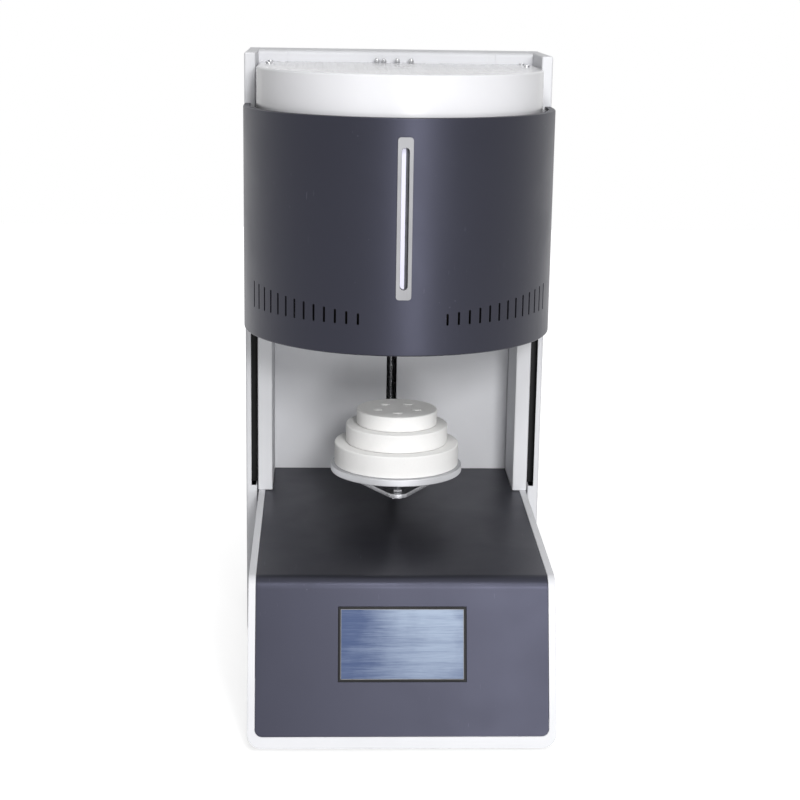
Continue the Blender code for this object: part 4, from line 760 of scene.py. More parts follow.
def satin_aluminium():
    """Satin aluminium, brushed upright."""
    return metal("satin_aluminium", colours().aluminium, (1400.0, 1400.0, 70.0), (0.34, 0.46), 0.000008)


def anodised():
    """Matt anodised aluminium of the trim and the silver line."""
    return metal("anodised", colours().anodised, (1400.0, 1400.0, 70.0), (0.60, 0.70), 0.000008)


def turned_steel():
    """Faced and turned steel, with rings about the stage's axis."""
    low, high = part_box("stage_disc")
    finish = Finish("turned_steel", Metallic=0.85)
    rings = finish.rings((*axis_of(low, high), 0), 1500.0)
    finish.tone(rings["Value"], shade(colours().disc, 0.92), shade(colours().disc, 1.08))
    finish.link(map_range(finish.tree, rings["Value"], 0.0, 1.0, 0.50, 0.62), "Roughness")
    finish.bump(rings["Height"], 0.00001)
    return finish.material


def tinted_steel():
    """Dark steel of the head's frame and casing: painted shade, so that the vents look as black as the head's
    dark inside.
    """
    return metal("tinted_steel", colours().shade_steel, (500.0, 500.0, 60.0), (0.45, 0.60), 0.000008)


def sheet_steel():
    """Galvanised sheet with its flat crystals."""
    finish = Finish("sheet_steel", Metallic=1.0)
    crystals = add_node(finish.tree, "ShaderNodeTexVoronoi", {"Vector": finish.place, "Scale": 160.0})
    tone = add_node(finish.tree, "ShaderNodeSeparateColor", {0: crystals.outputs["Color"]})
    finish.tone(tone.outputs[0], shade(colours().sheet_steel, 0.85), shade(colours().sheet_steel, 1.15))
    finish.link(map_range(finish.tree, tone.outputs[1], 0.0, 1.0, 0.36, 0.52), "Roughness")
    finish.bump(finish.grain(700.0, 90.0, 0.5)["Height"], 0.00001)
    return finish.material


def ceramic_fibre():
    """Ceramic fibre board: matt, with a felted surface, small pits and a faint warm stain."""
    finish = Finish("ceramic_fibre", Specular_IOR_Level=0.2)
    tree = finish.tree
    grain = finish.grain(700.0, 140.0, 0.8)
    stained = mix_colours(
        tree, finish.clouds(16.0, 0.0, 0.5), (*colours().fibre, 1), (*shade(colours().fibre, 0.93), 1)
    )
    pitted = mix_colours(
        tree, maths(tree, "MULTIPLY", grain["Pores"], 0.35), stained, (*shade(colours().fibre, 0.72), 1)
    )
    finish.link(pitted, "Base Color")
    finish.link(finish.clouds(30.0, 0.88, 1.0), "Roughness")
    finish.bump(grain["Height"], 0.00022)
    return finish.material


def silicide():
    """Heating rods with their glassy oxide skin, paler where they glow."""
    finish = Finish("silicide", Coat_Weight=0.3)
    finish.tone(finish.clouds(60.0, 0.0, 1.0), shade(colours().silicide, 0.7), shade(colours().silicide, 1.6))
    finish.link(finish.clouds(90.0, 0.35, 0.6), "Roughness")
    finish.bump(finish.grain(900.0, 200.0, 0.6)["Height"], 0.00004)
    return finish.material


def copper_winding():
    """Layers of enamelled copper wire, darker between the turns as painted shade in the grooves."""
    finish = Finish("copper_winding", Metallic=0.9, Coat_Weight=0.4)
    parts = add_node(finish.tree, "ShaderNodeSeparateXYZ", {0: finish.place})
    turns = maths(finish.tree, "SINE", maths(finish.tree, "MULTIPLY", parts.outputs[2], 3600.0))
    # Painted shade: the grooves between the turns are darker than the crests
    crests_over_groove_shade = map_range(finish.tree, turns, -1.0, 1.0, 0.0, 1.0)
    finish.tone(crests_over_groove_shade, shade(colours().copper, 0.55), colours().copper)
    finish.link(finish.clouds(40.0, 0.28, 0.42), "Roughness")
    finish.bump(turns, 0.00025)
    return finish.material


def circuit_board():
    """Green solder mask with tracks and pads showing through."""
    finish = Finish("circuit_board", Coat_Weight=0.5)
    tree = finish.tree
    inputs = {"Vector": finish.place, "Scale": 55.0, "Mortar Size": 0.012}
    inputs |= {"Brick Width": 0.6, "Row Height": 0.3}
    tracks = add_node(tree, "ShaderNodeTexBrick", inputs).outputs["Fac"]
    pads = add_node(tree, "ShaderNodeTexVoronoi", {"Vector": finish.place, "Scale": 130.0})
    pad = map_range(tree, pads.outputs["Distance"], 0.16, 0.13, 0.0, 1.0)
    masked = mix_colours(tree, tracks, (*colours().board, 1), (*shade(colours().board, 1.9), 1))
    finish.link(mix_colours(tree, pad, masked, (*shade(colours().copper, 1.1), 1)), "Base Color")
    finish.link(finish.clouds(25.0, 0.3, 0.45), "Roughness")
    finish.bump(pad, 0.00004)
    return finish.material


FINISHES = {
    "white_coat": white_coat,
    "charcoal_coat": charcoal_coat,
    "gloss_white": gloss_white,
    "rubber": rubber,
    "black_plastic": black_plastic,
    "smoked_plastic": smoked_plastic,
    "screen_glass": screen_glass,
    "bright_steel": bright_steel,
    "satin_aluminium": satin_aluminium,
    "anodised": anodised,
    "tinted_steel": tinted_steel,
    "strip_white": strip_white,
    "turned_steel": turned_steel,
    "sheet_steel": sheet_steel,
    "ceramic_fibre": ceramic_fibre,
    "silicide": silicide,
    "copper_winding": copper_winding,
    "circuit_board": circuit_board,
}


def finish_of(name):
    """A finish, made once."""
    if name not in made_materials:
        made_materials[name] = FINISHES[name]()
    return made_materials[name]


def install(piece, node, finish=None, replaces=True):
    """Puts a piece on its node's body, with the node's slot, in place of the node or beside it.

    Its finish is the one named, or else the one that has the slot's name.
    """
    piece.data.materials.clear()
    piece.data.materials.append(finish_of(finish or SLOTS[node]))
    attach(piece, BODIES[node])
    if replaces:
        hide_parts(node)


class FurnaceOperator:
    """What every operator of the furnace shares."""

    bl_options = {"REGISTER", "UNDO"}

    def execute(self, context):
        """Makes the pieces, and raises an error where one can't be made."""
        self.make(context.scene.furnace_sizes)
        deselect()
        return {"FINISHED"}


def rounded_copy(node, width, finish=None):
    """Puts a copy with smooth edges, rounded by a width in millimetres, in place of a node."""
    piece = copy_of(node)
    round_edges(piece, width * MILLIMETRE)
    smooth(piece)
    install(piece, node, finish)
    return piece


def rounded_copies(rows):
    """Puts rounded copies in place of the nodes of a table."""
    for row in rows:
        rounded_copy(*row)


class FURNACE_OT_column(FurnaceOperator, bpy.types.Operator):
    """Column: side covers, posts, slot liners, back panel and rear cover"""

    bl_idname = "furnace.column"
    bl_label = "Column"

    PAIRS = (("side_cover", 0.5), ("post", 0.4), ("slot_liner", 0.2))
    # Where each seam lies from left to right, and how wide and deep it is beside a full one
    SEAMS = ((-0.156, 1.0), (0.143, 1.0), (0.131, 0.4))
    # A full seam's depth as a share of the sheet
    SEAM_DEPTH = 0.9
    WALL_EDGE = 0.25 * MILLIMETRE

    def make(self, given):
        """Rounds the sheet edges of the column's pieces."""
        both = [(f"{part}_{side}", width) for side, _ in SIDES for part, width in self.PAIRS]
        rounded_copies([*both, ("back_panel", 0.3), ("rear_cover", 0.4)])
        self.upper_wall(given)

    def upper_wall(self, given):
        """The wall behind the cap, with its upright seams."""
        piece = copy_of("upper_back_panel")
        low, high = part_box("upper_back_panel")
        for x, share in self.SEAMS:
            half = given.seam_width * share / 2
            near = (x - half, low.y - given.sheet, low.z - given.sheet)
            depth = given.sheet * share * self.SEAM_DEPTH
            take_away(piece, box("seam", near, (x + half, low.y + depth, high.z + given.sheet)))
        round_edges(piece, self.WALL_EDGE)
        smooth(piece)
        install(piece, "upper_back_panel")


class FURNACE_OT_base(FurnaceOperator, bpy.types.Operator):
    """Base: the white rim and lip, and the rubber feet"""

    bl_idname = "furnace.base"
    bl_label = "Base"

    def make(self, given):
        """Rounds the rim's and the feet's edges."""
        feet = [(f"foot_{end}_{side}", 1.0) for end in ("front", "rear") for side, _ in SIDES]
        rounded_copies([("base_shell", 0.8), ("display_module", 1.0), *feet])


def face_frame(given):
    """The leaning face's frame at the screen: X across, Y up the face and Z out of it."""
    low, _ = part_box("base_shell")
    lean = math.atan2(given.face_lean, given.face_height)
    up = Vector((0, math.sin(lean), math.cos(lean)))
    out = Vector((0, -math.cos(lean), math.sin(lean)))
    place = Vector((0, low.y, low.z)) + up * given.screen_rise
    turn = Matrix((Vector((1, 0, 0)), up, out)).transposed().to_4x4()
    return Matrix.Translation(place) @ turn


class FURNACE_OT_front_panel(FurnaceOperator, bpy.types.Operator):
    """Front panel: the dark bent sheet of the face and the deck"""

    bl_idname = "furnace.front_panel"
    bl_label = "Front panel"

    EDGE = 0.35 * MILLIMETRE
    CORNER_STEPS = 6

    def make(self, given):
        """Draws the section, pulls it to the panel's width and cuts the screen's opening."""
        low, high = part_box("front_panel")
        base_low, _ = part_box("base_shell")
        post_low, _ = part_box("post_right")
        face_top = Vector((base_low.y + given.face_lean, base_low.z + given.face_height))
        section = self.section(given, face_top, low.z, high.y, post_low.y)
        piece = drawn("front_panel_sheet", [(low.x, y, z) for y, z in section])
        width = high.x - low.x
        with editing(piece):
            bpy.ops.mesh.extrude_edges_move(TRANSFORM_OT_translate={"value": (width, 0, 0)})
        self.notch(piece, post_low.x - given.gap, post_low.y - given.gap)
        self.round_corners(piece, given, low)
        self.open_for_screen(piece, given)
        outwards(piece)
        turn_out(piece, UP)
        modify(piece, "SOLIDIFY", thickness=given.sheet, offset=-1, use_even_offset=True)
        round_edges(piece, self.EDGE, limit=SHARP_LIMIT)
        smooth(piece)
        install(piece, "front_panel")

    def section(self, given, face_top, foot, rear, column):
        """The sheet from the side, from its foot round the bend to its rear, as (y, z) pairs."""
        lean = math.atan2(given.face_lean, given.face_height)
        rise = math.atan2(given.deck_rise, column - face_top[0])
        face_up = Vector((math.sin(lean), math.cos(lean)))
        face_in = Vector((math.cos(lean), -math.sin(lean)))
        deck_in = Vector((math.sin(rise), -math.cos(rise)))
        half_bend = (QUARTER_TURN - lean - rise) / 2
        centre = face_top + (face_in + deck_in).normalized() * (given.bend_radius / math.cos(half_bend))
        radius = given.bend_radius - given.panel_set_back
        bend = arc(centre, radius, HALF_TURN - lean, QUARTER_TURN + rise, given.bend_steps)
        start = Vector(bend[0]) - face_up * ((bend[0][1] - foot) / face_up.y)
        deck_run = rear - bend[-1][0]
        end = (rear, bend[-1][1] + deck_run * math.tan(rise))
        return [start, *bend, end]

    def notch(self, piece, half, front):
        """Narrows the deck between the posts."""
        with editing(piece):
            bpy.ops.mesh.bisect(plane_co=(0, front, 0), plane_no=(0, 1, 0))
            for side in (-1, 1):
                bpy.ops.mesh.select_all(action="SELECT")
                bpy.ops.mesh.bisect(plane_co=(side * half, 0, 0), plane_no=(1, 0, 0))
            pick(piece, "FACE", lambda face: middle(face).y > front and abs(middle(face).x) > half)
            bpy.ops.mesh.delete(type="FACE")

    def round_corners(self, piece, given, low):
        """Rounds the two lower corners of the face."""
        with editing(piece):
            edge = abs(low.x) - MERGE
            pick(piece, "VERT", lambda corner: corner.co.z < low.z + MERGE and abs(corner.co.x) > edge)
            bpy.ops.mesh.bevel(
                offset=given.panel_corner, segments=self.CORNER_STEPS, affect="VERTICES"
            )

    def open_for_screen(self, piece, given):
        """Cuts the face along the opening's four sides and takes the middle out."""
        place = face_frame(given)
        inverse = place.inverted()
        half_x = given.screen_width / 2
        half_y = given.screen_height / 2
        up = place.to_3x3() @ Vector((0, 1, 0))
        sides = [((side * half_x, 0, 0), (1, 0, 0)) for side in (-1, 1)]
        sides += [(place @ Vector((0, side * half_y, 0)), up) for side in (-1, 1)]

        def on_face(face):
            """Tells the leaning face from the deck."""
            return face.normal.y ** 2 > 0.5 and middle(face).y < place.translation.y + half_y

        def inside(face):
            """Tells what lies within the opening."""
            local = inverse @ middle(face)
            return abs(local.x) < half_x and abs(local.y) < half_y and abs(local.z) < half_y / 2

        with editing(piece):
            for spot, normal in sides:
                pick(piece, "FACE", on_face)
                bpy.ops.mesh.bisect(plane_co=spot, plane_no=normal)
            pick(piece, "FACE", inside)
            bpy.ops.mesh.delete(type="FACE")


def frame_ring(name, half_x, half_y, width, back, front):
    """An upright picture frame about the origin, with its opening inset by a width."""
    piece = box(name, (-half_x, -half_y, back), (half_x, half_y, front))
    with editing(piece):
        pick(piece, "FACE", lambda face: abs(face.normal.z) > 0.9)
        bpy.ops.mesh.inset(thickness=width, depth=0)
        bpy.ops.mesh.bridge_edge_loops()
    return piece


class FURNACE_OT_touch_screen(FurnaceOperator, bpy.types.Operator):
    """Touch screen: gasket, silver line and glass"""

    bl_idname = "furnace.touch_screen"
    bl_label = "Touch screen"

    def make(self, given):
        """Models the three pieces flat, and stands them on the face."""
        place = face_frame(given)
        front = -given.panel_set_back
        back = front - given.gasket_depth
        half_x = given.screen_width / 2 - given.gap
        half_y = given.screen_height / 2 - given.gap
        gasket = frame_ring("screen_gasket_ring", half_x, half_y, given.gasket_width, back, front)
        round_edges(gasket, given.gasket_width / 6)
        self.stand(gasket, place, "screen_gasket")
        half_x -= given.gasket_width + MERGE
        half_y -= given.gasket_width + MERGE
        glass_front = front - given.glass_recess
        glass_back = glass_front - given.glass_thickness
        line_front = glass_front + given.glass_recess / 3
        line = frame_ring("screen_silver_line", half_x, half_y, given.bezel_width, glass_back, line_front)
        round_edges(line, given.bezel_width / 6)
        self.stand(line, place, "touch_screen", "anodised", False)
        half_x -= given.bezel_width + MERGE
        half_y -= given.bezel_width + MERGE
        glass = box("touch_screen_pane", (-half_x, -half_y, glass_back), (half_x, half_y, glass_front))
        round_edges(glass, given.bezel_width / 3)
        self.stand(glass, place, "touch_screen")

    def stand(self, piece, place, node, finish=None, replaces=True):
        """Moves a flat piece to its place on the face."""
        piece.matrix_world = place
        settle(piece)
        smooth(piece)
        install(piece, node, finish, replaces)


class FURNACE_OT_head_cover(FurnaceOperator, bpy.types.Operator):
    """Head cover: the dark half-round sheet with its two rows of vents"""

    bl_idname = "furnace.head_cover"
    bl_label = "Head cover"

    EDGE = 0.3 * MILLIMETRE
    TURNED_EDGE_STEPS = 3
    VENT_END_STEPS = 3

    def make(self, given):
        """Spins the cover's section in runs whose steps meet the vents' sides."""
        low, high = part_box("head_cover")
        radius = high.x
        centre = Vector((0, low.y + radius, 0))
        edge = given.cover_edge
        lip = radius - given.cover_lip
        lower = arc((radius - edge, low.z + edge), edge, -QUARTER_TURN, 0, self.TURNED_EDGE_STEPS)
        upper = arc((radius - edge, high.z - edge), edge, 0, QUARTER_TURN, self.TURNED_EDGE_STEPS)
        section = [(lip, low.z), *lower, *upper, (lip, high.z)]
        piece = drawn("head_cover_sheet", [(-x, centre.y, z) for x, z in section])
        self.spin_round(piece, given, centre)
        self.draw_back(piece, centre, high.y)
        self.cut_vents(piece, given, centre, low.z + given.vent_rise)
        outwards(piece)
        turn_out(piece, FORWARD)
        modify(piece, "SOLIDIFY", thickness=given.sheet, offset=-1, use_even_offset=True)
        self.round_vents(piece, given, centre, low.z + given.vent_rise)
        margin = given.sleeve_wall + given.gap
        opening = slot_shape("trim_opening", given, margin, low.y - CUT_REACH, low.y + CUT_REACH)
        take_away(piece, opening)
        round_edges(piece, self.EDGE, limit=SHARP_LIMIT)
        smooth(piece)
        install(piece, "head_cover")

    def spin_round(self, piece, given, centre):
        """Spins the section from the left, through the front, to the right."""
        step = given.vent_pitch / given.vent_steps
        first = given.vent_start - step / 2
        run = given.vent_pitch * (given.vent_count - 1) + step
        last = first + run
        side_steps = round((QUARTER_TURN - last) / step)
        vent_steps = given.vent_steps * (given.vent_count - 1) + 1
        front_steps = round(2 * first / step)
        side_turn = QUARTER_TURN - last
        with editing(piece):
            for turn, steps in (
                (side_turn, side_steps),
                (run, vent_steps),
                (2 * first, front_steps),
                (run, vent_steps),
                (side_turn, side_steps),
            ):
                bpy.ops.mesh.spin(steps=steps, angle=-turn, center=centre, axis=(0, 0, 1))

    def draw_back(self, piece, centre, end_y):
        """Draws both ends straight back to the column."""

        def at_end(edge):
            """Tells the edges at the two ends of the spin."""
            return edge.is_boundary and all(abs(vert.co.y - centre.y) < MERGE for vert in edge.verts)

        reach = end_y - centre.y
        with editing(piece):
            pick(piece, "EDGE", at_end)
            bpy.ops.mesh.extrude_edges_move(TRANSFORM_OT_translate={"value": (0, reach, 0)})

    def vent_rows(self, given):
        """The angle and the height of each vent of one side."""
        for index in range(given.vent_count):
            share = index / max(given.vent_count - 1, 1)
            height = given.vent_short + (given.vent_long - given.vent_short) * share
            yield given.vent_start + index * given.vent_pitch, height

    def cut_vents(self, piece, given, centre, bottom):
        """Cuts the columns of the wall across at each vent's ends, and takes the vents out."""
        half = given.vent_pitch / given.vent_steps / 4
        rows = list(self.vent_rows(given))

        def in_column(face, turn):
            """Tells the wall's faces that stand at a vent's angle from the front."""
            spot = middle(face) - centre
            off_front = abs(math.atan2(spot.x, -spot.y))
            return abs(face.normal.z) < 0.5 and abs(off_front - turn) < half

        def is_vent(face):
            """Tells the faces between a vent's lower and upper end."""
            rise = middle(face).z - bottom
            return any(in_column(face, turn) and 0 < rise < height for turn, height in rows)

        with editing(piece):
            pick(piece, "FACE", lambda face: any(in_column(face, turn) for turn, _ in rows))
            bpy.ops.mesh.bisect(plane_co=(0, 0, bottom), plane_no=(0, 0, 1))
            for turn, height in rows:
                pick(piece, "FACE", lambda face: in_column(face, turn) and middle(face).z > bottom)
                bpy.ops.mesh.bisect(plane_co=(0, 0, bottom + height), plane_no=(0, 0, 1))
            found = pick(piece, "FACE", is_vent)
            if found != 2 * given.vent_count:
                raise RuntimeError(f"{found} vents were found in the head cover")
            bpy.ops.mesh.delete(type="FACE")

    def round_vents(self, piece, given, centre, bottom):
        """Rounds the four corners of each vent, through the sheet."""
        top = bottom + given.vent_long

        def through(edge):
            """Tells the vents' corner edges, which run through the sheet."""
            start, end = (vert.co for vert in edge.verts)
            inside = bottom - MERGE < start.z < top + MERGE and abs(start.z - end.z) < MERGE
            return inside and start.y < centre.y and abs((start - end).length - given.sheet) < given.gap

        with editing(piece):
            pick(piece, "EDGE", through)
            bpy.ops.mesh.bevel(offset=given.vent_end, segments=self.VENT_END_STEPS, affect="EDGES")


def slot_shape(name, given, margin, front, back):
    """The upright slot of the trim with round ends, grown by a margin."""
    low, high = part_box("cover_trim")
    height = given.trim_slot_height / 2 + margin
    half = given.trim_slot_width / 2 + margin
    mid = (low.z + high.z) / 2
    piece = box(name, (-half, front, mid - height), (half, back, mid + height))
    with editing(piece):
        pick(piece, "EDGE", running(Y_AXIS))
        bpy.ops.mesh.bevel(offset=half - MERGE, segments=12, affect="EDGES")
    return piece


class FURNACE_OT_cover_trim(FurnaceOperator, bpy.types.Operator):
    """Cover trim: the silver frame, its sleeve and the light strip"""

    bl_idname = "furnace.cover_trim"
    bl_label = "Cover trim"

    # The share of the light strip's width, from the left, that keeps the diffuser's own colour; the right
    # part beyond it is painted shadow
    UNSHADED_SHARE = 0.58

    def make(self, given):
        """Cuts the frame's corners and its slot, and stands the sleeve behind it."""
        low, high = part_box("cover_trim")
        back = low.y + given.trim_thickness
        plate = box("cover_trim_frame", low, (high.x, back, high.z))
        with editing(plate):
            pick(plate, "EDGE", running(Y_AXIS))
            bpy.ops.mesh.bevel(offset=given.trim_chamfer, segments=3, affect="EDGES")
        reach = given.trim_thickness
        take_away(plate, slot_shape("trim_slot", given, 0, low.y - reach, back + reach))
        round_edges(plate, given.trim_thickness / 4, 3)
        sleeve = slot_shape("trim_sleeve", given, given.sleeve_wall, back - reach / 4, high.y)
        take_away(sleeve, slot_shape("sleeve_bore", given, MERGE, low.y - reach, high.y + reach))
        round_edges(sleeve, given.sleeve_wall / 5)
        trim = joined(plate, sleeve)
        smooth(trim)
        install(trim, "cover_trim", "anodised")
        strip_low, strip_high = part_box("light_strip")
        strip = slot_shape("light_strip_lens", given, -given.gap, strip_low.y, strip_high.y)
        round_edges(strip, given.gap)
        # The strip is split here: its right part gets the dark painted shadow of the slot's right wall
        split = given.trim_slot_width * self.UNSHADED_SHARE - given.trim_slot_width / 2
        with editing(strip):
            bpy.ops.mesh.bisect(plane_co=(split, 0, 0), plane_no=(1, 0, 0))
        smooth(strip)
        install(strip, "light_strip", "strip_white")
        strip.data.materials.append(finish_of("smoked_plastic"))
        for face in strip.data.polygons:
            face.material_index = int(face.center.x > split)


class FURNACE_OT_head_cap(FurnaceOperator, bpy.types.Operator):
    """Head cap: the gloss white top with its slots, nuts and screws"""

    bl_idname = "furnace.head_cap"
    bl_label = "Head cap"

    WALL_STEPS = 90
    NUT_PLACES = (-0.028, -0.018, 0.001, 0.021)
    NUT_INSET = 0.013
    SCREW_SIDE = 0.180
    SCREW_INSETS = (0.012, 0.074)
    # The dome's radius as a share of its nut's
    DOME_SHARE = 0.72

    def make(self, given):
        """Draws the outline, pulls it up, closes it and cuts the slots."""
        low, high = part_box("head_cap")
        radius = high.x
        centre_y = low.y + radius
        front = arc((0, centre_y), radius, HALF_TURN, FULL_TURN, self.WALL_STEPS)
        outline = [*front, (radius, high.y), (-radius, high.y)]
        piece = drawn("head_cap_shell", [(x, y, low.z) for x, y in outline], closed=True)

        def at_top(edge):
            """Tells the edges of the upper outline."""
            return all(vert.co.z > high.z - MERGE for vert in edge.verts)

        with editing(piece):
            bpy.ops.mesh.extrude_edges_move(TRANSFORM_OT_translate={"value": (0, 0, high.z - low.z)})
            pick(piece, "EDGE", at_top)
            bpy.ops.mesh.edge_face_add()
            bpy.ops.mesh.select_all(action="SELECT")
            bpy.ops.mesh.normals_make_consistent(inside=False)
            pick(piece, "EDGE", at_top)
            bpy.ops.mesh.bevel(offset=given.cap_edge, segments=4, affect="EDGES")
        turn_out(piece, UP)
        modify(piece, "SOLIDIFY", thickness=given.sheet, offset=-1, use_even_offset=True)
        take_away(piece, self.slots(given, radius, centre_y, low, high))
        smooth(piece)
        install(piece, "head_cap")
        self.nuts(given, high)
        self.screws(given, high)

    def slots(self, given, radius, centre_y, low, high):
        """Staggered rows of round-ended slots over the cap's top."""
        half = Vector((given.cap_slot_length / 2, given.cap_slot_width / 2, given.sheet * 2))
        one = box("cap_slot", -half, half)
        with editing(one):
            pick(one, "EDGE", running(Z_AXIS))
            bpy.ops.mesh.bevel(offset=half.y - MERGE, segments=5, affect="EDGES")
        inner = radius - given.cap_margin
        rows = int((high.y - low.y - 2 * given.cap_margin) / given.cap_row_pitch)
        made = []
        for row in range(rows + 1):
            y = high.y - given.cap_margin - given.cap_slot_width - row * given.cap_row_pitch
            reach = inner if y > centre_y else math.sqrt(max(inner**2 - (y - centre_y) ** 2, 0))
            shift = given.cap_slot_pitch / 2 * (row % 2)
            count = int((reach - half.x - shift) / given.cap_slot_pitch)
            if reach < half.x + shift:
                continue
            places = [step * given.cap_slot_pitch + shift for step in range(-count - (row % 2), count + 1)]
            made += [copied(one, "cap_slots", (x, y, high.z - given.sheet / 2)) for x in places]
        bpy.data.objects.remove(one, do_unlink=True)
        return joined(made[0], *made[1:])

    def nuts(self, given, high):
        """Domed nuts near the cap's rear edge."""
        radius = given.cap_nut
        spot = (0, high.y - self.NUT_INSET, high.z + radius / 2)
        one = hexagon(spot, radius, radius)
        top = high.z + radius
        dome = arc((0, top), radius * self.DOME_SHARE, 0, QUARTER_TURN, 6)
        one = joined(one, turned("nut_dome", [(0, top - radius / 4), *dome], spot[:2], 24))
        smooth(one)
        for index, x in enumerate(self.NUT_PLACES):
            nut = copied(one, f"cap_nut_{index + 1}", (x, 0, 0))
            install(nut, "head_cap", "bright_steel", False)
        bpy.data.objects.remove(one, do_unlink=True)

    def screws(self, given, high):
        """Small screws at the cap's sides."""
        one = pan_screw(given)
        for name, side in SIDES:
            for index, inset in enumerate(self.SCREW_INSETS):
                place = Matrix.Translation((side * self.SCREW_SIDE, high.y - inset, high.z))
                screw = placed_copy(one, f"cap_screw_{name}_{index + 1}", place)
                install(screw, "head_cap", "bright_steel", False)
        bpy.data.objects.remove(one, do_unlink=True)


def placed_copy(piece, name, matrix):
    """A copy of a piece with its own mesh, put in place by a matrix."""
    copy = copied(piece, name, (0, 0, 0))
    copy.matrix_world = matrix
    return settle(copy)


# Shares of a pan head's height: its rounded edge, and the floor of its cross recess
PAN_EDGE = 0.45
RECESS_FLOOR = 0.45
# Shares of a pan head's radius: half the length and half the width of the recess's arms
RECESS_ARM = 0.55
RECESS_WIDTH = 0.13


def pan_screw(given):
    """A pan head with a cross recess, standing on the origin."""
    height = given.screw_height
    radius = given.screw_head
    edge = height * PAN_EDGE
    rim = arc((radius - edge, height - edge), edge, 0, QUARTER_TURN, 4)
    profile = [(0, 0), (radius, 0), (radius, height - edge), *rim, (0, height)]
    piece = turned("pan_screw", profile, (0, 0), 32)
    arm = radius * RECESS_ARM
    width = radius * RECESS_WIDTH
    floor = height * RECESS_FLOOR
    for half_x, half_y in ((arm, width), (width, arm)):
        take_away(piece, box("recess", (-half_x, -half_y, floor), (half_x, half_y, height * 2)))
    smooth(piece)
    return piece


class FURNACE_OT_plug(FurnaceOperator, bpy.types.Operator):
    """Plug: three tiers of ceramic fibre board, with the seat pips"""

    bl_idname = "furnace.plug"
    bl_label = "Plug"

    PIP_COUNT = 5
    PIP_STEPS = 8

    def make(self, given):
        """Turns each tier, and stands the pips on the top one."""
        for tier in ("lower", "middle", "upper"):
            node = f"plug_{tier}"
            low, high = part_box(node)
            radius = (high.x - low.x) / 2
            centre = axis_of(low, high)
            top = high.z - given.pip_height if tier == "upper" else high.z
            piece = turned(f"{node}_turned", rim_points(radius, low.z, top, given.tier_edge), centre)
            if tier == "upper":
                piece = joined(piece, *self.pips(given, centre, top))
            smooth(piece)
            install(piece, node)

    def pips(self, given, centre, top):
        """Low domes on a circle, the first at the front."""
        turns = [QUARTER_TURN * step / self.PIP_STEPS for step in range(self.PIP_STEPS + 1)]
        reach = given.pip_radius
        dome = [(reach * math.cos(turn), top + given.pip_height * math.sin(turn)) for turn in turns]
        sunk = top - given.pip_height
        for index in range(self.PIP_COUNT):
            turn = -QUARTER_TURN + index * FULL_TURN / self.PIP_COUNT
            x = centre[0] + given.pip_circle * math.cos(turn)
            y = centre[1] + given.pip_circle * math.sin(turn)
            yield turned("pip", [(0, sunk), (reach, sunk), *dome], (x, y), 32)


class FURNACE_OT_stage_metal(FurnaceOperator, bpy.types.Operator):
    """Stage: disc, support plate, levelling studs and the lift arm"""

    bl_idname = "furnace.stage_metal"
    bl_label = "Stage disc, plate and studs"

    THREAD_STEPS = 14
    # The stud's radius in its thread's grooves, as a share of its full one
    THREAD_ROOT = 0.9

    def make(self, given):
        """Turns the disc and the studs, and rounds the plate and the arm."""
        low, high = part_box("stage_disc")
        centre = axis_of(low, high)
        radius = (high.x - low.x) / 2
        disc = turned("stage_disc_turned", rim_points(radius, low.z, high.z, given.disc_edge), centre, 128)
        smooth(disc)
        install(disc, "stage_disc", "turned_steel")
        rounded_copies([("support_plate", 0.5), ("lift_arm", 0.5)])
        for end in ("front", "left", "right"):
            self.stud(given, f"level_stud_{end}")

    def stud(self, given, node):
        """A threaded stud between two hexagon nuts."""
        low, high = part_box(node)
        centre = axis_of(low, high)
        across = (high.x - low.x) / 2
        nuts = []
        for start in (low.z, high.z - given.nut_height):
            spot = (*centre, start + given.nut_height / 2)
            nuts.append(hexagon(spot, across, given.nut_height))
        start = low.z + given.nut_height / 2
        end = high.z - given.nut_height / 2
        radii = (given.stud_radius, given.stud_radius * self.THREAD_ROOT)
        rows = [
            (radii[step % 2], start + (end - start) * step / self.THREAD_STEPS)
            for step in range(self.THREAD_STEPS + 1)
        ]
        stud = turned(f"{node}_turned", [(0, start), *rows, (0, end)], centre, 24)
        stud = joined(stud, *nuts)
        smooth(stud)
        install(stud, node)


